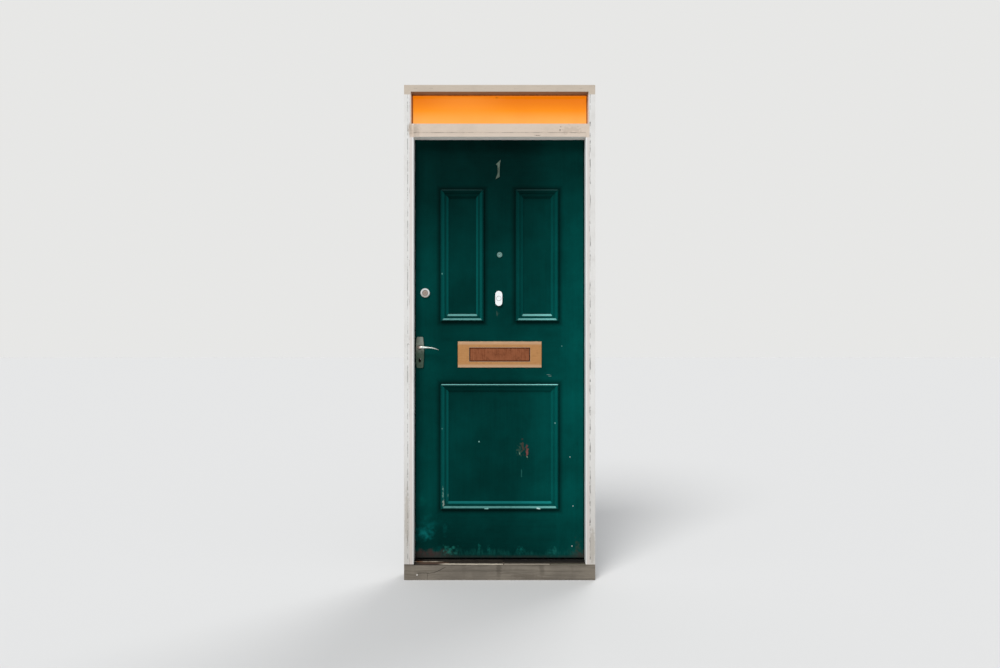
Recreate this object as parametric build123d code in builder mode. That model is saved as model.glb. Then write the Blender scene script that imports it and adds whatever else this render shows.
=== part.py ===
from build123d import *
import os

# A panelled front door hung in its frame, closed, with a fanlight above it.
# Millimetres. X runs to the right seen from outside, -Y is outside, +Z is up.
# The origin is the middle of the sill's underside.

# Leaf: sizes over all and of its framing
leaf_width = 838.0
leaf_height = 2032.0
leaf_thickness = 44.0
stile_width = 145.0
muntin_width = 174.0
top_rail_height = 261.0
lock_rail_height = 321.0
bottom_rail_height = 251.0
lower_opening_height = 584.0
tenon_thickness = 14.0
tenon_length = 74.0
tenon_shoulder = 30.0
muntin_tenon_length = 30.0
mortice_end_room = 1.0
panel_thickness = 18.0
panel_recess = 10.0
groove_depth = 12.0
groove_end_room = 2.0

# Mouldings round the panels, outside and inside
moulding_lap = 9.0
moulding_reach = 27.0
moulding_height = 14.0
inner_bead_width = 16.0
inner_bead_lip = 3.0

# Frame
frame_depth = 95.0
frame_member = 45.0
rebate_depth = 13.0
sill_height = 75.0
sill_fall = 4.0
drip_width = 8.0
drip_depth = 5.0
drip_inset = 12.0
threshold_width = 16.0
threshold_height = 6.0
threshold_round = 1.5
transom_height = 63.0
transom_strip_height = 19.0
transom_strip_proud = 2.5
transom_tenon_length = 20.0
transom_tenon_thickness = 25.0
fanlight_height = 152.0
glass_thickness = 4.0
glass_set_back = 51.0
glass_edge_room = 2.0
putty_width = 7.0
putty_depth = 10.0
putty_lip = 1.5

# Gaps between the leaf and the frame
leaf_side_gap = 3.0
leaf_top_gap = 3.0
leaf_under_gap = 8.0
stop_gap = 1.0

# Running and assembly clearances
slide_gap = 0.3
turn_gap = 0.05
push_gap = 0.1

# Butt hinges
hinge_height = 102.0
hinge_plate_width = 30.0
hinge_plate_thickness = 2.5
hinge_top_inset = 200.0
hinge_bottom_inset = 225.0
knuckle_count = 3
knuckle_radius = 5.5
knuckle_gap = 0.3
knuckle_stand_off = 6.0
hinge_pin_radius = 3.0

# Mortice lock, strike and lever furniture
lock_backset = 35.0
spindle_rise = 1021.0
keyhole_drop = 57.0
lock_case_depth = 56.0
lock_case_thickness = 14.0
lock_case_above = 47.0
lock_case_below = 103.0
lock_wall = 1.5
forend_thickness = 3.0
forend_width = 20.0
forend_overhang = 20.0
latch_rise = 20.0
latch_height = 16.0
latch_thickness = 9.0
latch_throw = 12.0
latch_head_length = 30.0
latch_tail_height = 6.0
latch_hook_width = 3.5
latch_hook_depth = 14.0
dead_bolt_drop = 43.0
dead_bolt_height = 24.0
dead_bolt_length = 34.0
dead_bolt_throw = 14.0
follower_radius = 9.95
horn_width = 6.0
horn_reach = 21.0
horn_lead = 1.3
strike_thickness = 2.0
strike_width = 30.0
strike_overhang = 16.0
strike_pocket_room = 4.0
strike_room = 2.0
spindle_size = 8.0
spindle_end_room = 3.0
spindle_hole_radius = 11.0
keyhole_radius = 4.5
keyhole_slot_width = 6.0
keyhole_slot_drop = 13.0
keyhole_wood_room = 3.0
backplate_width = 40.0
backplate_end_width = 31.0
backplate_above = 51.0
backplate_below = 99.0
backplate_thickness = 8.0
backplate_corner = 6.0
backplate_edge = 1.0
lever_neck_radius = 9.0
lever_stand_off = 40.0
lever_length = 93.0
lever_droop = 15.0
lever_grip_height = 9.5
lever_grip_depth = 14.0
lever_tip_height = 6.0
lever_bend = 35.0
lever_bend_drop = 1.5
lever_bend_height = 8.5
lever_edge = 2.0

# Rim cylinder and night latch
cylinder_backset = 60.0
cylinder_rise = 1284.0
cylinder_radius = 14.0
cylinder_length = 38.0
cylinder_hole_radius = 16.0
ring_radius = 22.5
ring_height = 7.0
ring_edge = 1.0
cylinder_proud = 5.0
plug_radius = 7.0
keyway_width = 2.2
keyway_height = 9.0
keyway_depth = 22.0
tail_width = 8.0
tail_thickness = 2.5
tail_reach = 10.0
night_case_length = 90.0
night_case_height = 64.0
night_case_depth = 27.0
night_case_wall = 2.5
night_case_edge = 4.0
night_case_set_in = 1.0
night_bolt_thickness = 12.0
night_bolt_height = 20.0
night_bolt_throw = 13.0
night_bolt_stand_off = 7.5
night_bolt_out = 16.0
night_bolt_body = 32.0
night_arm_height = 5.0
night_arm_thickness = 4.0
night_arm_rise = 17.0
night_hook_width = 3.5
night_hook_reach = 10.0
night_horn_width = 5.0
night_horn_reach = 15.0
night_horn_lead = 1.3
night_horn_thickness = 4.0
knob_shaft_radius = 5.0
knob_radius = 16.0
knob_base_height = 6.0
knob_grip_height = 14.0
knob_grip_width = 9.0
snib_length = 12.0
snib_width = 8.0
snib_height = 3.0
snib_stem = 4.0
snib_travel = 6.0
snib_inset = 24.0
snib_drop = 20.0
keep_width = 22.0
keep_wall = 4.0
keep_edge = 3.0
keep_stand_off = 2.0

# Letter plate, its flap and its inner frame
letter_side_border = 56.0
letter_top_border = 29.5
letter_plate_thickness = 4.5
letter_plate_bevel = 2.0
letter_drop = 8.5
flap_width = 294.0
flap_height = 68.0
flap_thickness = 2.0
flap_set_back = 3.0
flap_pivot_inset = 2.5
flap_pin_radius = 1.25
flap_pin_length = 3.0
ear_thickness = 3.5
ear_drop = 6.0
slot_margin = 7.0
slot_rise = 3.0
inner_letter_border = 30.0
inner_letter_thickness = 4.0
letter_bolt_radius = 2.5
letter_bolt_margin = 20.0
letter_nut_radius = 5.0
letter_nut_height = 5.0

# Door viewer, bell push and numeral
viewer_rise = 4.5
viewer_flange_radius = 13.0
viewer_flange_height = 4.0
viewer_radius = 7.0
viewer_bore = 5.5
viewer_flange_edge = 0.5
viewer_nut_radius = 11.0
viewer_nut_height = 3.0
lens_thickness = 5.0
lens_set_back = 1.0
bell_drop = 55.0
bell_width = 34.0
bell_height = 72.0
bell_depth = 12.0
bell_edge = 1.0
bell_offset = -4.0
button_radius = 11.0
button_proud = 1.2
button_travel = 1.5
button_pocket = 5.0
numeral_offset = -5.0
numeral_drop = 22.5
numeral_height = 94.0
numeral_thickness = 3.0
numeral_stem = 10.5
numeral_flag = 15.0

# Planes and edges worked out from the sizes above
front = -frame_depth / 2
back = frame_depth / 2
half_leaf = leaf_width / 2
leaf_back = back
leaf_front = leaf_back - leaf_thickness
leaf_middle = (leaf_front + leaf_back) / 2
leaf_bottom = sill_height + leaf_under_gap
leaf_top = leaf_bottom + leaf_height
stop_plane = leaf_front - stop_gap
rebate_face = half_leaf + leaf_side_gap
stop_face = rebate_face - rebate_depth
frame_side = stop_face + frame_member
rebate_top = leaf_top + leaf_top_gap
transom_bottom = rebate_top - rebate_depth
transom_face_top = transom_bottom + transom_height
transom_top = transom_face_top + rebate_depth
head_face_bottom = transom_face_top + fanlight_height
head_bottom = head_face_bottom - rebate_depth
frame_top = head_bottom + frame_member
glass_front = front + glass_set_back
glass_back = glass_front + glass_thickness

opening_edge = half_leaf - stile_width
muntin_edge = muntin_width / 2
bottom_rail_top = leaf_bottom + bottom_rail_height
lock_rail_bottom = bottom_rail_top + lower_opening_height
lock_rail_top = lock_rail_bottom + lock_rail_height
top_rail_bottom = leaf_top - top_rail_height
panel_front = leaf_front + panel_recess
panel_back = panel_front + panel_thickness
tenon_y = (leaf_middle - tenon_thickness / 2, leaf_middle + tenon_thickness / 2)
leaf_y = (leaf_front, leaf_back)
panel_y = (panel_front, panel_back)

upper_z = (lock_rail_top, top_rail_bottom)
lower_z = (bottom_rail_top, lock_rail_bottom)
upper_left_x = (-opening_edge, -muntin_edge)
upper_right_x = (muntin_edge, opening_edge)
lower_x = (-opening_edge, opening_edge)

pin_x = half_leaf + leaf_side_gap / 2
pin_y = back + knuckle_stand_off
hinge_z = {
    "top": leaf_top - hinge_top_inset,
    "middle": (leaf_top - hinge_top_inset + leaf_bottom + hinge_bottom_inset) / 2,
    "bottom": leaf_bottom + hinge_bottom_inset,
}

spindle_x = lock_backset - half_leaf
spindle_z = leaf_bottom + spindle_rise
keyhole_z = spindle_z - keyhole_drop
lock_inner_x = forend_thickness - half_leaf
lock_end_x = lock_inner_x + lock_case_depth
lock_y = (leaf_middle - lock_case_thickness / 2, leaf_middle + lock_case_thickness / 2)
lock_z = (spindle_z - lock_case_below, spindle_z + lock_case_above)
forend_y = (leaf_middle - forend_width / 2, leaf_middle + forend_width / 2)
forend_z = (lock_z[0] - forend_overhang, lock_z[1] + forend_overhang)
latch_z = (spindle_z + latch_rise - latch_height / 2, spindle_z + latch_rise + latch_height / 2)
latch_y = (leaf_middle - latch_thickness / 2, leaf_middle + latch_thickness / 2)
dead_bolt_middle = spindle_z - dead_bolt_drop
dead_bolt_z = (dead_bolt_middle - dead_bolt_height / 2, dead_bolt_middle + dead_bolt_height / 2)

cylinder_x = cylinder_backset - half_leaf
cylinder_z = leaf_bottom + cylinder_rise
night_case_x = (night_case_set_in - half_leaf, night_case_set_in - half_leaf + night_case_length)
night_case_y = (leaf_back, leaf_back + night_case_depth)
night_case_z = (cylinder_z - night_case_height / 2, cylinder_z + night_case_height / 2)
night_bolt_y = (leaf_back + night_bolt_stand_off, leaf_back + night_bolt_stand_off + night_bolt_thickness)
night_bolt_z = (cylinder_z - night_bolt_height / 2, cylinder_z + night_bolt_height / 2)

letter_z = (lock_rail_bottom + lock_rail_top) / 2 - letter_drop
flap_top = letter_z + flap_height / 2
flap_bottom = letter_z - flap_height / 2
flap_front = leaf_front - letter_plate_thickness + flap_set_back
flap_pivot_y = flap_front + flap_thickness / 2
flap_pivot_z = flap_top - flap_pivot_inset
slot_x = (-flap_width / 2 - slot_margin, flap_width / 2 + slot_margin)
slot_z = (flap_bottom - slot_rise, flap_top + slot_rise)
letter_plate_width = flap_width + 2 * letter_side_border
letter_plate_height = flap_height + 2 * letter_top_border
letter_bolt_x = slot_x[1] + letter_bolt_margin

viewer_z = (lock_rail_top + top_rail_bottom) / 2 + viewer_rise
bell_z = (lock_rail_top + viewer_z) / 2 - bell_drop
numeral_z = (top_rail_bottom + leaf_top) / 2 - numeral_drop

os.makedirs("parts", exist_ok=True)


def facade(y):
    # A sketch plane facing outside at depth y, drawn in X and Z.
    return Plane.XZ.offset(-y)


def block(x, y, z, mode=Mode.ADD):
    # A block between the two ends given along each axis.
    middle = ((x[0] + x[1]) / 2, (y[0] + y[1]) / 2, (z[0] + z[1]) / 2)
    with Locations(middle):
        Box(abs(x[1] - x[0]), abs(y[1] - y[0]), abs(z[1] - z[0]), mode=mode)


def round_bar(x, y, z, radius, mode=Mode.ADD):
    # A cylinder along Y at (x, z) between the two ends of y.
    with Locations(Location((x, (y[0] + y[1]) / 2, z), (90, 0, 0))):
        Cylinder(radius, abs(y[1] - y[0]), mode=mode)


def upright_bar(x, y, z, radius, mode=Mode.ADD):
    # A cylinder along Z at (x, y) between the two ends of z.
    with Locations((x, y, (z[0] + z[1]) / 2)):
        Cylinder(radius, abs(z[1] - z[0]), mode=mode)


def cut_keyhole(y, room=0.0):
    # A round top with a slot below it, cut along Y, larger by the room all round.
    round_bar(spindle_x, y, keyhole_z, keyhole_radius + room, mode=Mode.SUBTRACT)
    slot_side = keyhole_slot_width / 2 + room
    slot = (spindle_x - slot_side, spindle_x + slot_side)
    block(slot, y, (keyhole_z - keyhole_slot_drop - room, keyhole_z), mode=Mode.SUBTRACT)


def widen(span, room):
    return (span[0] - room, span[1] + room)


def save(piece, node):
    piece.part.label = node
    export_step(piece.part, f"parts/{node}.step")


# Frame: sill and threshold strip
weather_y = stop_plane - threshold_width
with BuildPart() as sill:
    block((-frame_side, frame_side), (front, back), (0, sill_height))
    with BuildSketch(Plane.YZ):
        with BuildLine():
            Polyline(
                (front, sill_height),
                (weather_y, sill_height),
                (front, sill_height - sill_fall),
                close=True,
            )
        make_face()
    extrude(amount=stop_face, both=True, mode=Mode.SUBTRACT)
    drip_y = (front + drip_inset, front + drip_inset + drip_width)
    block((-frame_side, frame_side), drip_y, (0, drip_depth), mode=Mode.SUBTRACT)
save(sill, "sill")

with BuildPart() as threshold_strip:
    with BuildSketch(Plane.YZ):
        with Locations((weather_y, sill_height)):
            Rectangle(threshold_width, threshold_height, align=Align.MIN)
    extrude(amount=stop_face, both=True)
    top_edges = threshold_strip.edges().filter_by(Axis.X).group_by(Axis.Z)[-1]
    fillet(top_edges.sort_by(Axis.Y)[0], threshold_round)
save(threshold_strip, "threshold_strip")


# Frame: jambs, rebated for the leaf below the transom and for the glass above it
def cut_transom_mortice(side):
    tenon_low = rebate_top
    x = (side * stop_face, side * (stop_face + transom_tenon_length + mortice_end_room))
    y = (back - frame_depth / 3 - transom_tenon_thickness, back - frame_depth / 3)
    block(x, y, (tenon_low, transom_face_top), mode=Mode.SUBTRACT)


def cut_jamb_body(side):
    face = (side * stop_face, side * rebate_face)
    block((side * stop_face, side * frame_side), (front, back), (sill_height, head_bottom))
    block(face, (stop_plane, back), (sill_height, rebate_top), mode=Mode.SUBTRACT)
    block(face, (front, glass_back), (transom_face_top, head_bottom), mode=Mode.SUBTRACT)
    cut_transom_mortice(side)


strike_z = (dead_bolt_z[0] - strike_overhang, latch_z[1] + strike_overhang)
strike_y = (leaf_back - strike_width, leaf_back)
strike_x = (-rebate_face, -rebate_face - strike_thickness)
pocket_x = (strike_x[1], -half_leaf - dead_bolt_throw - strike_pocket_room)
bolt_holes = [
    (widen(latch_y, strike_room), widen(latch_z, strike_room)),
    (widen(latch_y, strike_room), widen(dead_bolt_z, strike_room)),
]

with BuildPart() as latch_jamb:
    cut_jamb_body(-1)
    block(strike_x, strike_y, strike_z, mode=Mode.SUBTRACT)
    for hole_y, hole_z in bolt_holes:
        block(pocket_x, hole_y, hole_z, mode=Mode.SUBTRACT)
save(latch_jamb, "latch_jamb")

with BuildPart() as hinge_jamb:
    cut_jamb_body(1)
    recess_x = (rebate_face, rebate_face + hinge_plate_thickness)
    for z in hinge_z.values():
        recess_z = (z - hinge_height / 2, z + hinge_height / 2)
        block(recess_x, (back - hinge_plate_width, back), recess_z, mode=Mode.SUBTRACT)
save(hinge_jamb, "hinge_jamb")

# Frame: transom, head, glass and the putty that holds it
with BuildPart() as transom:
    with BuildSketch(Plane.YZ):
        with BuildLine():
            Polyline(
                (front - transom_strip_proud, transom_bottom),
                (stop_plane, transom_bottom),
                (stop_plane, rebate_top),
                (back, rebate_top),
                (back, transom_top),
                (glass_back, transom_top),
                (glass_back, transom_face_top),
                (front, transom_face_top),
                (front, transom_bottom + transom_strip_height),
                (front - transom_strip_proud, transom_bottom + transom_strip_height),
                close=True,
            )
        make_face()
    extrude(amount=stop_face, both=True)
    tenon_span = stop_face + transom_tenon_length
    transom_tenon_y = (back - frame_depth / 3 - transom_tenon_thickness, back - frame_depth / 3)
    block((-tenon_span, tenon_span), transom_tenon_y, (rebate_top, transom_face_top))
save(transom, "transom")

with BuildPart() as frame_head:
    block((-frame_side, frame_side), (front, back), (head_bottom, frame_top))
    head_rebate_z = (head_bottom, head_face_bottom)
    block((-rebate_face, rebate_face), (front, glass_back), head_rebate_z, mode=Mode.SUBTRACT)
save(frame_head, "frame_head")

glass_x = (glass_edge_room - rebate_face, rebate_face - glass_edge_room)
glass_z = (transom_face_top + glass_edge_room, head_face_bottom - glass_edge_room)
with BuildPart() as fanlight_glass:
    block(glass_x, (glass_front, glass_back), glass_z)
save(fanlight_glass, "fanlight_glass")

with BuildPart() as glazing_putty:
    with BuildLine(facade(glass_front)):
        Polyline(
            (0, transom_face_top),
            (rebate_face, transom_face_top),
            (rebate_face, head_face_bottom),
            (-rebate_face, head_face_bottom),
            (-rebate_face, transom_face_top),
            (0, transom_face_top),
        )
    with BuildSketch(Plane(origin=(0, glass_front, transom_face_top), x_dir=(0, 0, 1), z_dir=(1, 0, 0))):
        with BuildLine():
            Polyline((0, 0), (putty_width, 0), (putty_width, putty_lip), (putty_lip, putty_depth))
            Polyline((putty_lip, putty_depth), (0, putty_depth), (0, 0))
        make_face()
    sweep(transition=Transition.RIGHT)
save(glazing_putty, "glazing_putty")


# Leaf: stiles, rails and muntin, with grooves for the panels and tenoned joints
def cut_panel_groove(x, z):
    block(x, panel_y, z, mode=Mode.SUBTRACT)


def cut_hinge_recesses():
    for z in hinge_z.values():
        recess_z = (z - hinge_height / 2, z + hinge_height / 2)
        recess = (half_leaf - hinge_plate_thickness, half_leaf)
        block(recess, (back - hinge_plate_width, back), recess_z, mode=Mode.SUBTRACT)


rail_spans = [
    (leaf_bottom, bottom_rail_top),
    (lock_rail_bottom, lock_rail_top),
    (top_rail_bottom, leaf_top),
]


def make_stile(side):
    block((side * opening_edge, side * half_leaf), leaf_y, (leaf_bottom, leaf_top))
    groove_x = (side * opening_edge, side * (opening_edge + groove_depth))
    cut_panel_groove(groove_x, widen(upper_z, groove_depth))
    cut_panel_groove(groove_x, widen(lower_z, groove_depth))
    mortice_x = (side * opening_edge, side * (opening_edge + tenon_length + mortice_end_room))
    for span in rail_spans:
        block(mortice_x, tenon_y, widen(span, -tenon_shoulder), mode=Mode.SUBTRACT)


with BuildPart() as hinge_stile:
    make_stile(1)
    cut_hinge_recesses()
save(hinge_stile, "hinge_stile")

with BuildPart() as lock_stile:
    make_stile(-1)
    block((-half_leaf, lock_inner_x), forend_y, forend_z, mode=Mode.SUBTRACT)
    block((-half_leaf, lock_end_x), lock_y, lock_z, mode=Mode.SUBTRACT)
    round_bar(spindle_x, leaf_y, spindle_z, spindle_hole_radius, mode=Mode.SUBTRACT)
    cut_keyhole(leaf_y, keyhole_wood_room)
    round_bar(cylinder_x, leaf_y, cylinder_z, cylinder_hole_radius, mode=Mode.SUBTRACT)
save(lock_stile, "lock_stile")


def make_rail(span):
    tenon_reach = opening_edge + tenon_length
    block(lower_x, leaf_y, span)
    block((-tenon_reach, tenon_reach), tenon_y, widen(span, -tenon_shoulder))


muntin_tenon_x = widen((-muntin_edge, muntin_edge), -tenon_shoulder)
with BuildPart() as top_rail:
    make_rail((top_rail_bottom, leaf_top))
    groove_z = (top_rail_bottom, top_rail_bottom + groove_depth)
    cut_panel_groove(widen(upper_left_x, groove_depth), groove_z)
    cut_panel_groove(widen(upper_right_x, groove_depth), groove_z)
    mortice_z = (top_rail_bottom, top_rail_bottom + muntin_tenon_length + mortice_end_room)
    block(muntin_tenon_x, tenon_y, mortice_z, mode=Mode.SUBTRACT)
save(top_rail, "top_rail")

with BuildPart() as lock_rail:
    make_rail((lock_rail_bottom, lock_rail_top))
    cut_panel_groove(lower_x, (lock_rail_bottom, lock_rail_bottom + groove_depth))
    groove_z = (lock_rail_top - groove_depth, lock_rail_top)
    cut_panel_groove(widen(upper_left_x, groove_depth), groove_z)
    cut_panel_groove(widen(upper_right_x, groove_depth), groove_z)
    mortice_z = (lock_rail_top - muntin_tenon_length - mortice_end_room, lock_rail_top)
    block(muntin_tenon_x, tenon_y, mortice_z, mode=Mode.SUBTRACT)
    block(slot_x, leaf_y, slot_z, mode=Mode.SUBTRACT)
    for side in (-1, 1):
        round_bar(side * letter_bolt_x, leaf_y, letter_z, letter_bolt_radius + push_gap, mode=Mode.SUBTRACT)
save(lock_rail, "lock_rail")

with BuildPart() as bottom_rail:
    make_rail((leaf_bottom, bottom_rail_top))
    cut_panel_groove(lower_x, (bottom_rail_top - groove_depth, bottom_rail_top))
save(bottom_rail, "bottom_rail")

with BuildPart() as muntin:
    block((-muntin_edge, muntin_edge), leaf_y, upper_z)
    block(muntin_tenon_x, tenon_y, widen(upper_z, muntin_tenon_length))
    for side in (-1, 1):
        cut_panel_groove((side * (muntin_edge - groove_depth), side * muntin_edge), upper_z)
    round_bar(0, leaf_y, viewer_z, viewer_radius + push_gap, mode=Mode.SUBTRACT)
save(muntin, "muntin")

# Leaf: panels, one in each opening
openings = {
    "upper_left": (upper_left_x, upper_z),
    "upper_right": (upper_right_x, upper_z),
    "lower": (lower_x, lower_z),
}
panel_edge = groove_depth - groove_end_room
for place, (x, z) in openings.items():
    with BuildPart() as panel:
        block(widen(x, panel_edge), panel_y, widen(z, panel_edge))
    save(panel, f"{place}_panel")


# Leaf: bolection mouldings outside and small beads inside, mitred at the corners
def opening_path(x, z):
    middle = (x[0] + x[1]) / 2
    return [(middle, z[0]), (x[1], z[0]), (x[1], z[1]), (x[0], z[1]), (x[0], z[0]), (middle, z[0])]


def bolection_outline():
    # Drawn from the opening's edge: first towards the panel, then up from the leaf's face.
    toe = moulding_reach
    crest = moulding_height
    Polyline((-moulding_lap, 0), (0, 0), (0, -panel_recess), (toe, -panel_recess))
    Line((toe, -panel_recess), (toe, 0.2 * crest - panel_recess))
    ThreePointArc(
        (toe, 0.2 * crest - panel_recess),
        (0.86 * toe, 0.42 * crest - panel_recess),
        (0.64 * toe, 0.04 * crest),
    )
    Line((0.64 * toe, 0.04 * crest), (0.34 * toe, 0.18 * crest))
    ThreePointArc((0.34 * toe, 0.18 * crest), (0.18 * toe, 0.6 * crest), (-0.12 * moulding_lap, 0.86 * crest))
    ThreePointArc(
        (-0.12 * moulding_lap, 0.86 * crest),
        (-0.56 * moulding_lap, crest),
        (-moulding_lap, 0.74 * crest),
    )
    Line((-moulding_lap, 0.74 * crest), (-moulding_lap, 0))


for place, (x, z) in openings.items():
    with BuildPart() as moulding:
        with BuildLine(facade(leaf_front)):
            Polyline(*opening_path(x, z))
        start = ((x[0] + x[1]) / 2, leaf_front, z[0])
        with BuildSketch(Plane(origin=start, x_dir=(0, 0, 1), z_dir=(1, 0, 0))):
            with BuildLine():
                bolection_outline()
            make_face()
        sweep(transition=Transition.RIGHT)
    save(moulding, f"{place}_moulding")

inner_rise = leaf_back - panel_back
for place, (x, z) in openings.items():
    with BuildPart() as inner_bead:
        with BuildLine(facade(leaf_back)):
            Polyline(*opening_path(x, z))
        start = ((x[0] + x[1]) / 2, leaf_back, z[0])
        with BuildSketch(Plane(origin=start, x_dir=(0, 0, 1), z_dir=(1, 0, 0))):
            with BuildLine():
                Polyline((0, 0), (0, inner_rise), (inner_bead_width, inner_rise))
                Line((inner_bead_width, inner_rise), (inner_bead_width, inner_rise - inner_bead_lip))
                SagittaArc(
                    (inner_bead_width, inner_rise - inner_bead_lip),
                    (inner_bead_lip, 0),
                    -inner_bead_lip,
                )
                Line((inner_bead_lip, 0), (0, 0))
            make_face()
        sweep(transition=Transition.RIGHT)
    save(inner_bead, f"{place}_inner_bead")


# Hinges: a plate with two knuckles and the fixed pin on the frame, its partner on the leaf
def hinge_half(plate_x, own, z):
    low = z - hinge_height / 2
    step = hinge_height / knuckle_count
    block(plate_x, (back - hinge_plate_width, pin_y), (low, low + hinge_height))
    for index in range(knuckle_count):
        span = (low + index * step, low + (index + 1) * step)
        if index in own:
            upright_bar(pin_x, pin_y, widen(span, -knuckle_gap / 2), knuckle_radius)
        else:
            notch_y = (pin_y - knuckle_radius - knuckle_gap, pin_y)
            block(plate_x, notch_y, widen(span, knuckle_gap / 2), mode=Mode.SUBTRACT)


frame_plate_x = (rebate_face, rebate_face + hinge_plate_thickness)
leaf_plate_x = (half_leaf - hinge_plate_thickness, half_leaf)
for place, z in hinge_z.items():
    hinge_span = (z - hinge_height / 2, z + hinge_height / 2)
    with BuildPart() as frame_hinge:
        hinge_half(frame_plate_x, range(0, knuckle_count, 2), z)
        upright_bar(pin_x, pin_y, widen(hinge_span, -knuckle_gap), hinge_pin_radius)
    save(frame_hinge, f"frame_hinge_{place}")
    with BuildPart() as leaf_hinge:
        hinge_half(leaf_plate_x, range(1, knuckle_count, 2), z)
        upright_bar(pin_x, pin_y, hinge_span, hinge_pin_radius + turn_gap, mode=Mode.SUBTRACT)
    save(leaf_hinge, f"leaf_hinge_{place}")

# Mortice lock: strike plate on the jamb, hollow case and forend in the lock stile
with BuildPart() as strike_plate:
    block(strike_x, strike_y, strike_z)
    for hole_y, hole_z in bolt_holes:
        block(strike_x, hole_y, hole_z, mode=Mode.SUBTRACT)
save(strike_plate, "strike_plate")

follower_room = follower_radius + turn_gap
with BuildPart() as lock_case:
    block((-half_leaf, lock_inner_x), forend_y, forend_z)
    block((lock_inner_x, lock_end_x), lock_y, lock_z)
    cavity_x = (lock_inner_x + lock_wall, lock_end_x - lock_wall)
    block(cavity_x, widen(lock_y, -lock_wall), widen(lock_z, -lock_wall), mode=Mode.SUBTRACT)
    through_x = (-half_leaf, lock_inner_x + lock_wall)
    block(through_x, widen(latch_y, slide_gap), widen(latch_z, slide_gap), mode=Mode.SUBTRACT)
    block(through_x, widen(latch_y, slide_gap), widen(dead_bolt_z, slide_gap), mode=Mode.SUBTRACT)
    round_bar(spindle_x, lock_y, spindle_z, follower_room, mode=Mode.SUBTRACT)
    cut_keyhole(lock_y)
save(lock_case, "lock_case")

latch_tip_x = -half_leaf - latch_throw
latch_inner_x = latch_tip_x + latch_head_length
hook_x = spindle_x + horn_width / 2 + horn_lead
latch_tail_z = (latch_z[1] - latch_tail_height, latch_z[1])
with BuildPart() as latch_bolt:
    with BuildSketch(Plane.XY.offset(latch_z[0])):
        with BuildLine():
            Polyline(
                (latch_tip_x, latch_y[1]),
                (latch_inner_x, latch_y[1]),
                (latch_inner_x, latch_y[0]),
                (latch_tip_x + latch_throw, latch_y[0]),
                (latch_tip_x, latch_y[1] - latch_thickness / 5),
                close=True,
            )
        make_face()
    extrude(amount=latch_height)
    block((latch_inner_x, hook_x + latch_hook_width), latch_y, latch_tail_z)
    hook_z = (latch_tail_z[1] - latch_hook_depth, latch_tail_z[1])
    block((hook_x, hook_x + latch_hook_width), latch_y, hook_z)
save(latch_bolt, "latch_bolt")

with BuildPart() as dead_bolt:
    block((-half_leaf, dead_bolt_length - half_leaf), latch_y, dead_bolt_z)
save(dead_bolt, "dead_bolt")

# Lever furniture: follower, square spindle, backplates and levers
horn_x = (spindle_x - horn_width / 2, spindle_x + horn_width / 2)
half_square = spindle_size / 2
square_x = (spindle_x - half_square, spindle_x + half_square)
square_z = (spindle_z - half_square, spindle_z + half_square)
with BuildPart() as lock_follower:
    round_bar(spindle_x, lock_y, spindle_z, follower_radius)
    block(horn_x, latch_y, (spindle_z, spindle_z + horn_reach))
    block(square_x, lock_y, square_z, mode=Mode.SUBTRACT)
save(lock_follower, "lock_follower")

grip_y = leaf_front - lever_stand_off
grip_inner_y = leaf_back + lever_stand_off
spindle_y = (grip_y + spindle_end_room, grip_inner_y - spindle_end_room)
with BuildPart() as lever_spindle:
    block(square_x, spindle_y, square_z)
save(lever_spindle, "lever_spindle")

plate_top = spindle_z + backplate_above
plate_bottom = spindle_z - backplate_below
plate_middle = (plate_top + plate_bottom) / 2
with BuildPart() as outer_backplate:
    with BuildSketch(facade(leaf_front)):
        with BuildLine():
            end_x = (spindle_x - backplate_end_width / 2, spindle_x + backplate_end_width / 2)
            side_x = (spindle_x - backplate_width / 2, spindle_x + backplate_width / 2)
            Line((end_x[0], plate_top), (end_x[1], plate_top))
            ThreePointArc((end_x[1], plate_top), (side_x[1], plate_middle), (end_x[1], plate_bottom))
            Line((end_x[1], plate_bottom), (end_x[0], plate_bottom))
            ThreePointArc((end_x[0], plate_bottom), (side_x[0], plate_middle), (end_x[0], plate_top))
        make_face()
    extrude(amount=backplate_thickness)
    fillet(outer_backplate.edges().filter_by(Axis.Y), backplate_corner)
    chamfer(outer_backplate.faces().sort_by(Axis.Y)[0].edges(), backplate_edge)
    plate_y = (leaf_front - backplate_thickness, leaf_front)
    round_bar(spindle_x, plate_y, spindle_z, lever_neck_radius + slide_gap, mode=Mode.SUBTRACT)
    cut_keyhole(plate_y)
save(outer_backplate, "outer_backplate")

with BuildPart() as inner_backplate:
    mirror(outer_backplate.part, about=facade(leaf_middle))
save(inner_backplate, "inner_backplate")

neck_start = leaf_front - backplate_thickness / 2
neck_end = (neck_start, grip_y - lever_grip_depth / 2)
with BuildPart() as outer_lever:
    root = lever_grip_height / 2
    knee = lever_bend_height / 2
    tip = lever_tip_height / 2
    with BuildSketch(Plane(origin=(spindle_x, grip_y, spindle_z), x_dir=(1, 0, 0), z_dir=(0, -1, 0))):
        with BuildLine():
            Polyline((0, -root), (0, root), (lever_bend, knee - lever_bend_drop))
            Line((lever_bend, knee - lever_bend_drop), (lever_length, tip - lever_droop))
            ThreePointArc(
                (lever_length, tip - lever_droop),
                (lever_length + tip, -lever_droop),
                (lever_length, -tip - lever_droop),
            )
            Polyline((lever_length, -tip - lever_droop), (lever_bend, -knee - lever_bend_drop), (0, -root))
        make_face()
    extrude(amount=lever_grip_depth / 2, both=True)
    chamfer(outer_lever.faces().sort_by(Axis.Y)[0].edges(), lever_edge)
    chamfer(outer_lever.faces().sort_by(Axis.Y)[-1].edges(), lever_edge)
    round_bar(spindle_x, neck_end, spindle_z, lever_neck_radius)
    block(square_x, (neck_start, spindle_y[0]), square_z, mode=Mode.SUBTRACT)
save(outer_lever, "outer_lever")

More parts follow.
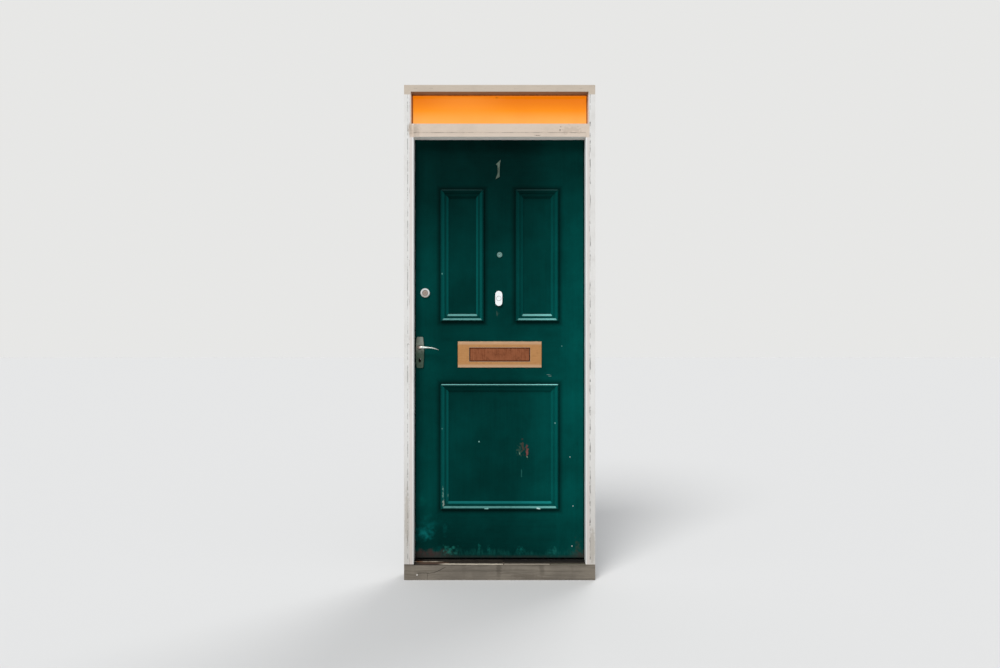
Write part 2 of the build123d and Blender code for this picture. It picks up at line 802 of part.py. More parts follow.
with BuildPart() as inner_lever:
    mirror(outer_lever.part, about=facade(leaf_middle))
save(inner_lever, "inner_lever")

# Rim cylinder: ring, body and plug with its tail bar
cylinder_front = leaf_front - cylinder_proud
cylinder_back = cylinder_front + cylinder_length
ring_y = (leaf_front - ring_height, leaf_front)
with BuildPart() as cylinder_ring:
    round_bar(cylinder_x, ring_y, cylinder_z, ring_radius)
    chamfer(cylinder_ring.faces().sort_by(Axis.Y)[0].edges(), ring_edge)
    round_bar(cylinder_x, ring_y, cylinder_z, cylinder_radius + push_gap, mode=Mode.SUBTRACT)
save(cylinder_ring, "cylinder_ring")

cylinder_y = (cylinder_front, cylinder_back)
with BuildPart() as cylinder_body:
    round_bar(cylinder_x, cylinder_y, cylinder_z, cylinder_radius)
    round_bar(cylinder_x, cylinder_y, cylinder_z, plug_radius + turn_gap, mode=Mode.SUBTRACT)
save(cylinder_body, "cylinder_body")

with BuildPart() as cylinder_plug:
    round_bar(cylinder_x, cylinder_y, cylinder_z, plug_radius)
    keyway_x = (cylinder_x - keyway_width / 2, cylinder_x + keyway_width / 2)
    keyway_z = (cylinder_z - keyway_height / 2, cylinder_z + keyway_height / 2)
    keyway_y = (cylinder_front, cylinder_front + keyway_depth)
    block(keyway_x, keyway_y, keyway_z, mode=Mode.SUBTRACT)
    tail_x = (cylinder_x - tail_thickness / 2, cylinder_x + tail_thickness / 2)
    tail_z = (cylinder_z - tail_width / 2, cylinder_z + tail_width / 2)
    block(tail_x, (cylinder_back, leaf_back + tail_reach), tail_z)
save(cylinder_plug, "cylinder_plug")

# Night latch: open-backed case on the inner face, bolt, knob, snib, and keep on the jamb
case_face = night_case_y[1]
case_inner_y = case_face - night_case_wall
snib_x = night_case_x[0] + snib_inset
snib_z = cylinder_z - snib_drop
snib_slot_x = (snib_x - snib_stem / 2 - slide_gap, snib_x + snib_stem / 2 + snib_travel + slide_gap)
snib_slot_z = (snib_z - snib_stem / 2 - slide_gap, snib_z + snib_stem / 2 + slide_gap)
with BuildPart() as night_latch_case:
    block(night_case_x, night_case_y, night_case_z)
    fillet(night_latch_case.faces().sort_by(Axis.Y)[-1].edges(), night_case_edge)
    wall = -night_case_wall
    block(widen(night_case_x, wall), (leaf_back, case_inner_y), widen(night_case_z, wall), mode=Mode.SUBTRACT)
    edge_wall_x = (night_case_x[0], night_case_x[0] + night_case_wall)
    block(edge_wall_x, widen(night_bolt_y, slide_gap), widen(night_bolt_z, slide_gap), mode=Mode.SUBTRACT)
    case_wall_y = (case_inner_y, case_face)
    round_bar(cylinder_x, case_wall_y, cylinder_z, knob_shaft_radius + slide_gap, mode=Mode.SUBTRACT)
    block(snib_slot_x, case_wall_y, snib_slot_z, mode=Mode.SUBTRACT)
save(night_latch_case, "night_latch_case")

night_tip_x = -half_leaf - night_bolt_out
night_inner_x = night_tip_x + night_bolt_body
night_hook_x = cylinder_x + night_horn_width / 2 + night_horn_lead
night_arm_z = (cylinder_z + night_arm_rise, cylinder_z + night_arm_rise + night_arm_height)
night_arm_y = (night_bolt_y[1] - night_arm_thickness, night_bolt_y[1])
night_post_x = (night_inner_x - night_arm_height, night_inner_x)
with BuildPart() as night_latch_bolt:
    with BuildSketch(Plane.XY.offset(night_bolt_z[0])):
        with BuildLine():
            Polyline(
                (night_tip_x, night_bolt_y[1]),
                (night_inner_x, night_bolt_y[1]),
                (night_inner_x, night_bolt_y[0]),
                (night_tip_x + night_bolt_throw, night_bolt_y[0]),
                (night_tip_x, night_bolt_y[1] - night_bolt_thickness / 5),
                close=True,
            )
        make_face()
    extrude(amount=night_bolt_height)
    block(night_post_x, night_arm_y, (cylinder_z, night_arm_z[1]))
    block((night_post_x[0], night_hook_x + night_hook_width), night_arm_y, night_arm_z)
    night_hook_z = (night_arm_z[1] - night_hook_reach - night_arm_height, night_arm_z[1])
    block((night_hook_x, night_hook_x + night_hook_width), night_arm_y, night_hook_z)
save(night_latch_bolt, "night_latch_bolt")

knob_y = (case_face + slide_gap, case_face + slide_gap + knob_base_height)
with BuildPart() as night_latch_knob:
    round_bar(cylinder_x, knob_y, cylinder_z, knob_radius)
    grip = (cylinder_x - knob_grip_width / 2, cylinder_x + knob_grip_width / 2)
    grip_reach = knob_radius - knob_base_height / 3
    grip_z = (cylinder_z - grip_reach, cylinder_z + grip_reach)
    block(grip, (knob_y[1], knob_y[1] + knob_grip_height), grip_z)
    outer_face = night_latch_knob.faces().sort_by(Axis.Y)[-1]
    chamfer(outer_face.edges(), knob_grip_width / 4)
    round_bar(cylinder_x, (night_arm_y[0], knob_y[0]), cylinder_z, knob_shaft_radius)
    horn = (cylinder_x - night_horn_width / 2, cylinder_x + night_horn_width / 2)
    horn_y = (night_arm_y[0], night_arm_y[0] + night_horn_thickness)
    block(horn, horn_y, (cylinder_z, cylinder_z + night_horn_reach))
save(night_latch_knob, "night_latch_knob")

with BuildPart() as night_latch_snib:
    half_stem = snib_stem / 2
    stem_x = (snib_x - half_stem, snib_x + half_stem)
    stem_z = (snib_z - half_stem, snib_z + half_stem)
    block(stem_x, (case_inner_y, case_face + slide_gap), stem_z)
    cap_x = (snib_x - snib_width / 2, snib_x + snib_width / 2)
    cap_z = (snib_z - snib_length / 2, snib_z + snib_length / 2)
    block(cap_x, (case_face + slide_gap, case_face + slide_gap + snib_height), cap_z)
    chamfer(night_latch_snib.faces().sort_by(Axis.Y)[-1].edges(), snib_height / 3)
save(night_latch_snib, "night_latch_snib")

keep_x = (-rebate_face - keep_stand_off - keep_width, -rebate_face - keep_stand_off)
with BuildPart() as latch_keep:
    block(keep_x, night_case_y, night_case_z)
    fillet(latch_keep.faces().sort_by(Axis.Y)[-1].edges(), keep_edge)
    pocket = (keep_x[0] + keep_wall, keep_x[1])
    pocket_y = (leaf_back + keep_wall, case_face - keep_wall)
    block(pocket, pocket_y, widen(night_bolt_z, keep_wall), mode=Mode.SUBTRACT)
save(latch_keep, "latch_keep")

# Letter plate: plate with ears, sprung flap, inner frame and the bolts that clamp them
letter_back = leaf_front
with BuildPart() as letter_plate:
    with BuildSketch(facade(leaf_front)):
        with Locations((0, letter_z)):
            Rectangle(letter_plate_width, letter_plate_height)
            Rectangle(flap_width, flap_height, mode=Mode.SUBTRACT)
    extrude(amount=letter_plate_thickness)
    plate_face = letter_plate.faces().sort_by(Axis.Y)[0]
    chamfer(plate_face.outer_wire().edges(), letter_plate_bevel)
    ear_z = (flap_pivot_z - ear_drop, flap_top + slot_rise)
    ear_back = flap_pivot_y + flap_pin_radius + ear_thickness
    for side in (-1, 1):
        ear_x = (side * flap_width / 2, side * (flap_width / 2 + ear_thickness))
        block(ear_x, (letter_back, ear_back), ear_z)
        with Locations(Location((side * flap_width / 2, flap_pivot_y, flap_pivot_z), (0, 90, 0))):
            Cylinder(flap_pin_radius + turn_gap, 2 * flap_pin_length, mode=Mode.SUBTRACT)
save(letter_plate, "letter_plate")

with BuildPart() as letter_flap:
    flap_x = (slide_gap - flap_width / 2, flap_width / 2 - slide_gap)
    block(flap_x, (flap_front, flap_front + flap_thickness), (flap_bottom + slide_gap, flap_top - slide_gap))
    with Locations(Location((0, flap_pivot_y, flap_pivot_z), (0, 90, 0))):
        Cylinder(flap_pin_radius, flap_width + 2 * (flap_pin_length - slide_gap))
save(letter_flap, "letter_flap")

inner_letter_x = widen(slot_x, inner_letter_border)
inner_letter_z = widen(slot_z, inner_letter_border / 2)
inner_letter_y = (leaf_back, leaf_back + inner_letter_thickness)
with BuildPart() as inner_letter_frame:
    block(inner_letter_x, inner_letter_y, inner_letter_z)
    block(slot_x, inner_letter_y, slot_z, mode=Mode.SUBTRACT)
    chamfer(inner_letter_frame.faces().sort_by(Axis.Y)[-1].outer_wire().edges(), inner_letter_thickness / 3)
    for side in (-1, 1):
        hole = letter_bolt_radius + push_gap
        round_bar(side * letter_bolt_x, inner_letter_y, letter_z, hole, mode=Mode.SUBTRACT)
save(inner_letter_frame, "inner_letter_frame")

nut_y = (inner_letter_y[1], inner_letter_y[1] + letter_nut_height)
with BuildPart() as letter_bolts:
    for side in (-1, 1):
        round_bar(side * letter_bolt_x, (leaf_front, nut_y[0]), letter_z, letter_bolt_radius)
        with BuildSketch(facade(nut_y[0])):
            with Locations((side * letter_bolt_x, letter_z)):
                RegularPolygon(letter_nut_radius, 6)
        extrude(amount=-letter_nut_height)
save(letter_bolts, "letter_bolts")

# Door viewer: barrel through the muntin, its lens, and the nut that holds it inside
barrel_y = (leaf_front - viewer_flange_height, leaf_back + viewer_nut_height)
with BuildPart() as viewer_barrel:
    round_bar(0, (barrel_y[0], leaf_front), viewer_z, viewer_flange_radius)
    chamfer(viewer_barrel.faces().sort_by(Axis.Y)[0].edges(), viewer_flange_edge)
    round_bar(0, (leaf_front, barrel_y[1]), viewer_z, viewer_radius)
    round_bar(0, barrel_y, viewer_z, viewer_bore, mode=Mode.SUBTRACT)
save(viewer_barrel, "viewer_barrel")

lens_front = barrel_y[0] + lens_set_back
with BuildPart() as viewer_lens:
    round_bar(0, (lens_front, lens_front + lens_thickness), viewer_z, viewer_bore - turn_gap)
save(viewer_lens, "viewer_lens")

nut_depth = (leaf_back, barrel_y[1])
with BuildPart() as viewer_nut:
    round_bar(0, nut_depth, viewer_z, viewer_nut_radius)
    round_bar(0, nut_depth, viewer_z, viewer_radius + push_gap, mode=Mode.SUBTRACT)
save(viewer_nut, "viewer_nut")

# Bell push: base and sprung button
bell_face = leaf_front - bell_depth
with BuildPart() as bell_base:
    with BuildSketch(facade(leaf_front)):
        with Locations((bell_offset, bell_z)):
            SlotOverall(bell_height, bell_width, rotation=90)
    extrude(amount=bell_depth)
    chamfer(bell_base.faces().sort_by(Axis.Y)[0].edges(), bell_edge)
    pocket_radius = button_radius + slide_gap
    round_bar(bell_offset, (bell_face, bell_face + button_pocket), bell_z, pocket_radius, mode=Mode.SUBTRACT)
save(bell_base, "bell_base")

button_y = (bell_face - button_proud, bell_face + button_pocket - button_travel - slide_gap)
with BuildPart() as bell_button:
    round_bar(bell_offset, button_y, bell_z, button_radius)
save(bell_button, "bell_button")

# Numeral: a plain 1 with a flag at the top and a slanted foot
stem = numeral_stem / 2
high = numeral_height / 2
with BuildPart() as numeral_one:
    numeral_origin = (numeral_offset, leaf_front, numeral_z)
    with BuildSketch(Plane(origin=numeral_origin, x_dir=(1, 0, 0), z_dir=(0, -1, 0))):
        with BuildLine():
            Spline((1.8 * stem, high), (1.1 * stem, 0.4 * high), (0.95 * stem, -0.74 * high))
            Line((0.95 * stem, -0.74 * high), (-numeral_flag, -high))
            Line((-numeral_flag, -high), (-0.95 * stem, -0.42 * high))
            Line((-0.95 * stem, -0.42 * high), (-0.95 * stem, 0.36 * high))
            Line((-0.95 * stem, 0.36 * high), (-0.8 * numeral_flag, 0.54 * high))
            Line((-0.8 * numeral_flag, 0.54 * high), (1.8 * stem, high))
        make_face()
    extrude(amount=numeral_thickness)
save(numeral_one, "numeral_one")
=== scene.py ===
import math
import bpy
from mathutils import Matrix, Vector


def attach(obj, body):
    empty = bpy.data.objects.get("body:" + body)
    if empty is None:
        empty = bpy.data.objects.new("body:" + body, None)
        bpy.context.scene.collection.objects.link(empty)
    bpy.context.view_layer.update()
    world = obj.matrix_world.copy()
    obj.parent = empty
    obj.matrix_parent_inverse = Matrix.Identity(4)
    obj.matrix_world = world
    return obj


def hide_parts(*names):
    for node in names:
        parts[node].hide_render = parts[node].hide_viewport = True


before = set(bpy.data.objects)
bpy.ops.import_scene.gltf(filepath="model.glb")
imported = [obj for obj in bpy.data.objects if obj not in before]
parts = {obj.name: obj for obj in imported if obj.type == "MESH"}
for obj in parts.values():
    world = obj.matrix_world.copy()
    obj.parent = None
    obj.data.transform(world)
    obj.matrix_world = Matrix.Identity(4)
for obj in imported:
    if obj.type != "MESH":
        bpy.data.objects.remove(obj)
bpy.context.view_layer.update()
print("door: loaded", len(parts), "solids")


# small helpers for node trees

def screen(red, green, blue):
    # a colour as a screen shows it, 0 to 255, made linear
    def level(value):
        value = value / 255
        return value / 12.92 if value <= 0.04045 else ((value + 0.055) / 1.055) ** 2.4
    return (level(red), level(green), level(blue), 1.0)


def feed(socket, value):
    # links a signal or sets a value, where a colour of three values is one from a screen
    if isinstance(value, Signal):
        socket.id_data.links.new(value.socket, socket)
    elif value is not None:
        fromScreen = socket.type == "RGBA" and len(value) == 3
        socket.default_value = screen(*value) if fromScreen else value


def addNode(tree, kind, values=None, **settings):
    made = tree.nodes.new("ShaderNode" + kind)
    for name, value in settings.items():
        setattr(made, name, value)
    for label, value in (values or {}).items():
        feed(made.inputs[label], value)
    return made


class Signal:
    # what one socket gives, written in sums as a number is; each step adds its node

    def __init__(self, socket):
        self.socket = socket
        self.tree = socket.id_data

    def math(self, operation, *others, clamp=False):
        made = addNode(self.tree, "Math", operation=operation, use_clamp=clamp)
        for end, value in zip(made.inputs, (self,) + others):
            feed(end, value)
        return Signal(made.outputs[0])

    def __add__(self, other):
        return self.math("ADD", other)

    def __sub__(self, other):
        return self.math("SUBTRACT", other)

    def __mul__(self, other):
        return self.math("MULTIPLY", other)

    def __truediv__(self, other):
        return self.math("DIVIDE", other)

    def __abs__(self):
        return self.math("ABSOLUTE")

    def scaled(self, factor, shift):
        return self.math("MULTIPLY_ADD", factor, shift)

    def most(self, other):
        return self.math("MAXIMUM", other)

    def least(self, other):
        return self.math("MINIMUM", other)

    def fade(self, start, stop, fromValue=0.0, toValue=1.0):
        made = addNode(self.tree, "MapRange", {"Value": self, "From Min": start, "From Max": stop,
                                               "To Min": fromValue, "To Max": toValue},
                       interpolation_type="SMOOTHSTEP")
        return Signal(made.outputs[0])


def vectorCalc(operation, first, second=None):
    made = addNode(first.tree, "VectorMath", operation=operation)
    feed(made.inputs[0], first)
    feed(made.inputs[1], second)
    return Signal(made.outputs["Value" if operation in ("LENGTH", "DOT_PRODUCT") else "Vector"])


def axes(vector):
    return [Signal(end) for end in addNode(vector.tree, "SeparateXYZ", {"Vector": vector}).outputs]


def joined(x, y=0.0, z=0.0):
    return Signal(addNode(x.tree, "CombineXYZ", {"X": x, "Y": y, "Z": z}).outputs[0])


def noise(vector, scale, detail, roughness=0.5):
    made = addNode(vector.tree, "TexNoise", {"Vector": vector, "Scale": scale, "Detail": detail,
                                             "Roughness": roughness})
    return Signal(made.outputs[0])


def mixColour(tree, amount, first, second, way="MIX"):
    made = addNode(tree, "Mix", data_type="RGBA", blend_type=way)
    for number, value in ((0, amount), (6, first), (7, second)):
        feed(made.inputs[number], value)
    return Signal(made.outputs[2])


def newGroup(name, inputs, outputs):
    # an input that has one value takes a number, any other takes a vector
    group = bpy.data.node_groups.new(name, "ShaderNodeTree")
    for label, value in inputs.items():
        kind = "NodeSocketFloat" if isinstance(value, float) else "NodeSocketVector"
        socket = group.interface.new_socket(name=label, in_out="INPUT", socket_type=kind)
        if value is not None:
            socket.default_value = value
    for label in outputs:
        group.interface.new_socket(name=label, in_out="OUTPUT", socket_type="NodeSocketFloat")
    entry = [Signal(end) for end in group.nodes.new("NodeGroupInput").outputs if end.name in inputs]
    return group, entry, group.nodes.new("NodeGroupOutput").inputs


# effects that several finishes share

def makeBrushStrokes():
    group, (here, run), leave = newGroup("brushStrokes", {"Place": None, "Run": (200, 200, 8)},
                                         ["Tone", "Height"])
    stretched = vectorCalc("MULTIPLY", here, run)
    broad = noise(stretched, 0.35, 3.0, 0.6)
    fine = noise(stretched, 1.7, 2.0, 0.55)
    feed(leave["Tone"], fine.scaled(0.4, broad * 0.6))
    feed(leave["Height"], broad.scaled(0.5, fine))
    return group


def makeCloudyDirt():
    group, (here, scale, start, full), leave = newGroup(
        "cloudyDirt", {"Place": None, "Scale": 6.0, "Start": 0.45, "Full": 0.7}, ["Mask"])
    feed(leave["Mask"], noise(here, scale, 6.0, 0.62).fade(start, full))
    return group


def makeMarkAt():
    # a ragged oval patch round one place
    group, (here, centre, size, ragged, grain, inner), leave = newGroup(
        "markAt", {"Place": None, "Centre": (0, 0, 0), "Size": (0.01, 0.01, 0.01), "Ragged": 0.4,
                   "Grain": 90.0, "Inner": 0.55}, ["Mask"])
    offset = vectorCalc("DIVIDE", vectorCalc("SUBTRACT", here, centre), size)
    wobble = (noise(here, grain, 4.0) - 0.5) * ragged
    feed(leave["Mask"], wobble.scaled(3.0, vectorCalc("LENGTH", offset)).fade(1.0, inner))
    return group


def makeCrackLine():
    # one broken line that runs along Z near X = Across
    group, (here, across, width, sway, broken, seed), leave = newGroup(
        "crackLine", {"Place": None, "Across": 0.0, "Width": 0.001, "Sway": 0.004, "Broken": 0.5,
                      "Seed": 0.0}, ["Mask"])
    spot = axes(here)
    along = joined(seed, 0.0, spot[2])
    bend = noise(along, 19.0, 8.0, 0.78)
    gaps = addNode(group, "TexNoise", {"Vector": along, "Scale": 17.0, "Detail": 6.0, "Roughness": 0.66})
    swell = axes(Signal(gaps.outputs["Color"]))[1]
    distance = abs(spot[0] - (bend - 0.5).scaled(sway, across))
    line = (distance / (width * swell.fade(0.36, 0.64, 0.3, 1.7))).fade(1.0, 0.3)
    kept = (Signal(gaps.outputs[0]) - broken).fade(-0.04, 0.04)
    feed(leave["Mask"], line * kept)
    return group


def makeEdgeWear():
    group, (here, radius, scale), leave = newGroup(
        "edgeWear", {"Place": None, "Radius": 0.0015, "Scale": 120.0}, ["Mask"])
    soft = Signal(addNode(group, "Bevel", {"Radius": radius}, samples=4).outputs[0])
    flat = Signal(addNode(group, "NewGeometry").outputs["Normal"])
    bend = vectorCalc("DOT_PRODUCT", soft, flat).scaled(-1.0, 1.0)
    worn = bend * noise(here, scale, 4.0).fade(0.35, 0.6)
    feed(leave["Mask"], worn.fade(0.02, 0.14))
    return group


def makeTarnish():
    group, (here, run, start, full), leave = newGroup(
        "tarnish", {"Place": None, "Run": (60, 60, 60), "Start": 0.4, "Full": 0.7}, ["Mask", "Scratches"])
    feed(leave["Mask"], noise(here, 34.0, 7.0, 0.68).fade(start, full))
    lines = noise(vectorCalc("MULTIPLY", here, run), 1.0, 5.0, 0.7)
    feed(leave["Scratches"], lines.fade(0.4, 0.65))
    return group


brushStrokes = makeBrushStrokes()
cloudyDirt = makeCloudyDirt()
markAt = makeMarkAt()
crackLine = makeCrackLine()
edgeWear = makeEdgeWear()
tarnish = makeTarnish()
print("door: shared effects ready")


class Finish:
    # a material in the making: its shader, its colour so far and the object's own coordinates

    def __init__(self, name, roughness, **constants):
        self.material = bpy.data.materials.new(name)
        self.material.use_nodes = True
        self.tree = self.material.node_tree
        self.tree.nodes.clear()
        leave = addNode(self.tree, "OutputMaterial")
        self.shader = addNode(self.tree, "BsdfPrincipled")
        self.tree.links.new(self.shader.outputs[0], leave.inputs["Surface"])
        self.show(Roughness=roughness, **constants)
        here = addNode(self.tree, "TexCoord").outputs
        self.here = Signal(here["Object"])
        self.facing = Signal(here["Normal"])
        self.x, self.y, self.z = axes(self.here)
        self.colour = None

    def show(self, **values):
        for label, value in values.items():
            feed(self.shader.inputs[label.replace("_", " ")], value)

    def effect(self, group, **inputs):
        made = addNode(self.tree, "Group", node_tree=group)
        for label, value in {"Place": self.here, **inputs}.items():
            feed(made.inputs[label], value)
        results = [Signal(end) for end in made.outputs]
        return results if len(results) > 1 else results[0]

    def dirt(self, scale, start, full):
        return self.effect(cloudyDirt, Scale=scale, Start=start, Full=full)

    def wear(self, radius, scale):
        return self.effect(edgeWear, Radius=radius, Scale=scale)

    def crack(self, lines, across, width, sway, broken, seed):
        return self.effect(crackLine, Place=lines, Across=across, Width=width, Sway=sway, Broken=broken,
                           Seed=seed)

    def mix(self, amount, first, second, way="MIX"):
        return mixColour(self.tree, amount, first, second, way)

    def cover(self, amount, tint, way="MIX"):
        self.colour = self.mix(amount, self.colour, tint, way)

    def addMark(self, at, size, tint, strength=0.9, ragged=0.4, grain=90.0, inner=0.55):
        # one flaw: its middle, half its size, its colour, and how strong, ragged, coarse and soft it is
        mask = self.effect(markAt, Centre=at, Size=size, Ragged=ragged, Grain=grain, Inner=inner)
        self.cover(mask * strength, tint)

    def addMarks(self, marks):
        for mark in marks:
            self.addMark(*mark)

    def addBump(self, height, strength, distance):
        bump = addNode(self.tree, "Bump", {"Strength": strength, "Distance": distance, "Height": height})
        self.show(Normal=Signal(bump.outputs[0]))


def dress(material, *names):
    for name in names:
        for holder in parts[name].material_slots:
            holder.material = material


# green paint on the leaf

leafPaint = {
    "deep": (0, 36, 33), "fresh": (0, 61, 57), "slopeSheen": (10, 100, 96), "gapAndShade": (1, 4, 4),
    "ledge": (114, 176, 171), "lowLedgeHighlight": (18, 108, 106), "sheen": 0.015, "roughness": 0.4,
    "verticalRun": (190, 190, 7), "levelRun": (7, 190, 190),
    # shade and light over the leaf: from, to, and the level at each
    "topShade": (1.4, 2.00, 1.0, 0.4), "footShade": (0.36, 0.16, 1.0, 0.72),
    "hingeSideLight": (0.02, 0.4, 1.0, 1.85), "latchSideLight": (-0.27, -0.34, 1.0, 1.3),
    "slopeSheenReach": (-0.27, 0.27, 0.62, 0.16),
    # the painted highlight along each ledge: height, half its width, strength, middle, half its length and
    # tint
    "ledgeHighlights": [(0.9245, 0.009, 1.15, 0.0, 0.279, "ledge"), (0.336, 0.0048, 0.6, 0.0, 0.271, "ledge"),
                   (0.3555, 0.007, 0.8, 0.0, 0.25, "lowLedgeHighlight"), (1.861, 0.0075, 0.2, 0.1805, 0.098, "ledge"),
                   (1.24, 0.005, 0.78, 0.1805, 0.093, "ledge"), (1.26, 0.0066, 0.8, 0.1805, 0.071, "ledge")],
    "lineEnd": 0.004,
    # painted shade round each moulding: its middle and half its size, then how the shade starts and ends
    "mouldings": [((0.1805, 1.5465), (0.1025, 0.3165)), ((0.0, 0.626), (0.283, 0.301))],
    "mouldingShade": 0.55, "mouldingShadeStart": (-0.007, -0.001), "mouldingShadeEnd": (0.029, 0.001),
    "jointShadeStart": (0.4015, 0.406), "jointShadeEnd": (0.4125, 0.41), "outerPart": (0.02, 0.012),
    "slot": {"middle": 1.07, "half": (0.185, 0.05), "soft": 0.002, "deep": (0.004, 0.047),
             "colour": (34, 18, 12)},
}
footWear = {
    "bleached": (8, 96, 92), "bleachedHeight": (0.42, 0.12), "bleachedLeft": (-0.1, -0.34, 0.1, 0.5),
    "scuff": (24, 86, 78), "scuffStrength": 0.45, "scuffTop": (0.15, 0.046), "scuffFoot": (0.093, 0.11),
    "stain": (64, 47, 45), "stainHeight": (0.124, 0.1), "stainLeft": (-0.18, -0.34),
    "stainRight": (0.32, 0.4, 0.0, 0.8), "bare": (44, 50, 46), "bareHeight": (0.108, 0.09),
    "gapShadeHeight": (0.0925, 0.0885),
}
# a mark's values are those of addMark
leafMarks = {
    "stile": [
        ((-0.366, 0.0035, 0.208), (0.062, 0.03, 0.05), (14, 110, 108), 0.75, 0.7, 55.0, -0.5),
        ((-0.352, 0.0035, 0.25), (0.07, 0.03, 0.06), (6, 92, 88), 0.45, 0.8, 34.0, -0.6),
        ((-0.378, 0.0035, 0.37), (0.03, 0.03, 0.06), (4, 92, 84), 0.5, 0.5, 40.0, -0.6),
        ((0.3, 0.0035, 1.111), (0.0035, 0.02, 0.0035), (96, 150, 142), 0.6),
        ((0.339, 0.0035, 0.5755), (0.0032, 0.02, 0.0034), (180, 200, 192)),
        ((0.354, 0.0035, 0.339), (0.0028, 0.02, 0.0038), (170, 190, 184)),
        ((0.349, 0.0035, 0.146), (0.0024, 0.02, 0.0046), (205, 212, 206)),
        ((0.378, 0.0035, 0.148), (0.02, 0.02, 0.046), (52, 62, 52), 0.6, 1.0, 70.0, -0.3),
        # painted shade inside the keyhole
        ((-0.383, 0.0255, 1.0425), (0.0085, 0.5, 0.015), (1, 2, 2), 0.9, 0.0),  # inside the keyhole
    ],
    "rail": [
        ((-0.25, 0.0035, 0.124), (0.06, 0.02, 0.026), (34, 112, 100), 0.75, 1.0, 70.0, -0.4),
        ((-0.31, 0.0035, 0.232), (0.075, 0.03, 0.055), (6, 88, 84), 0.55, 0.8, 36.0, -0.6),
        ((-0.1, 0.0035, 0.138), (0.01, 0.02, 0.026), (20, 96, 88), 0.7, 0.8, 90.0, -0.3),
        ((-0.052, 0.0035, 0.13), (0.012, 0.02, 0.026), (18, 92, 84), 0.7, 0.8, 90.0, -0.3),
        ((0.1, 0.0035, 0.126), (0.022, 0.02, 0.026), (16, 92, 84), 0.7, 0.9, 90.0, -0.3),
        ((0.262, 0.0035, 0.122), (0.026, 0.02, 0.03), (24, 96, 88), 0.6, 1.1, 90.0, -0.3),
        ((0.238, 0.0035, 0.973), (0.012, 0.02, 0.0016), (92, 118, 112), 0.9, 0.8),
        ((0.243, 0.0035, 0.966), (0.009, 0.02, 0.0014), (104, 128, 122), 0.9, 0.8),
    ],
    "panel": [
        ((0.132, 0.0135, 0.604), (0.0085, 0.02, 0.034), (104, 60, 56), 0.85, 1.0, 90.0, 0.1),
        ((0.133, 0.0135, 0.596), (0.005, 0.02, 0.014), (116, 70, 66), 0.9, 0.8),
        ((0.111, 0.0135, 0.622), (0.012, 0.02, 0.034), (70, 58, 50), 0.75, 1.2, 90.0, 0.1),
        ((0.096, 0.0135, 0.606), (0.014, 0.02, 0.034), (52, 76, 64), 0.75, 1.3, 90.0, 0.1),
        ((0.097, 0.0135, 0.59), (0.004, 0.02, 0.006), (104, 138, 118), 0.9, 0.7),
        ((0.133, 0.0135, 0.574), (0.004, 0.02, 0.005), (112, 132, 112), 0.9, 0.7),
        ((0.106, 0.0135, 0.496), (0.003, 0.02, 0.03), (30, 84, 78), 0.9, 0.9),
        ((-0.0996, 0.0135, 0.648), (0.004, 0.02, 0.004), (120, 168, 158)),
    ],
    "moulding": [
        ((-0.272, -0.002, 0.404), (0.0042, 0.03, 0.034), (96, 140, 130), 0.9, 1.1),
        ((-0.271, -0.002, 0.356), (0.0048, 0.03, 0.016), (150, 168, 156), 0.9, 1.1),
        ((-0.25, -0.002, 0.39), (0.0034, 0.03, 0.01), (70, 124, 114), 0.9, 0.8),
        ((0.185, -0.004, 0.3305), (0.014, 0.03, 0.005), (176, 206, 200), 0.9, 0.8),
        ((-0.06, -0.004, 0.33), (0.012, 0.03, 0.004), (120, 172, 164), 0.9, 0.8),
        ((0.267, -0.004, 0.74), (0.004, 0.03, 0.004), (110, 160, 152)),
        ((-0.276, -0.004, 0.714), (0.004, 0.03, 0.004), (80, 132, 124)),
        ((-0.276, -0.004, 1.459), (0.004, 0.03, 0.006), (90, 150, 140)),
    ],
    "muntin": [
        ((-0.013, 0.0035, 1.2655), (0.0055, 0.02, 0.015), (66, 84, 74), 0.7, 0.9, 160.0, 0.0),
        ((-0.004, 0.0035, 1.269), (0.003, 0.02, 0.008), (40, 70, 60), 0.6, 0.9, 160.0, 0.0),
    ],
}


def addPaintedShade(paint, look):
    # painted shade beside each moulding, and painted shadow in the gap between leaf and frame
    across = abs(paint.x)
    nearest = None
    for (middleX, middleZ), (halfX, halfZ) in look["mouldings"]:
        away = (abs(across - middleX) - halfX).most(abs(paint.z - middleZ) - halfZ)
        nearest = away if nearest is None else nearest.least(away)
    ring = nearest.fade(*look["mouldingShadeStart"]) * nearest.fade(*look["mouldingShadeEnd"])
    front = paint.y.fade(*look["outerPart"])
    paint.cover(ring * front * look["mouldingShade"], (0, 0, 0))
    joint = across.fade(*look["jointShadeStart"]) * across.fade(*look["jointShadeEnd"])
    paint.cover(joint * front * 0.9, look["gapAndShade"])


def addLedges(paint, look, gain):
    # painted sheen on the upright runs, and chalky paint with a painted highlight where a slope looks up
    facing = axes(paint.facing)
    sideways = abs(facing[0]).fade(0.1, 0.6)
    paint.cover(sideways * paint.x.fade(*look["slopeSheenReach"]), look["slopeSheen"])
    upward = facing[2].fade(0.1, 0.5) * paint.dirt(40.0, 0.2, 0.5).scaled(0.3, 0.7)
    across = abs(paint.x)
    end = look["lineEnd"]
    for height, half, strength, middle, length, tint in look["ledgeHighlights"]:
        line = abs(paint.z - height).fade(half, half * 0.6, 0.0, strength * gain)
        reach = abs(across - middle).fade(length + end, length - end)
        paint.cover(upward * (line * reach), look[tint])


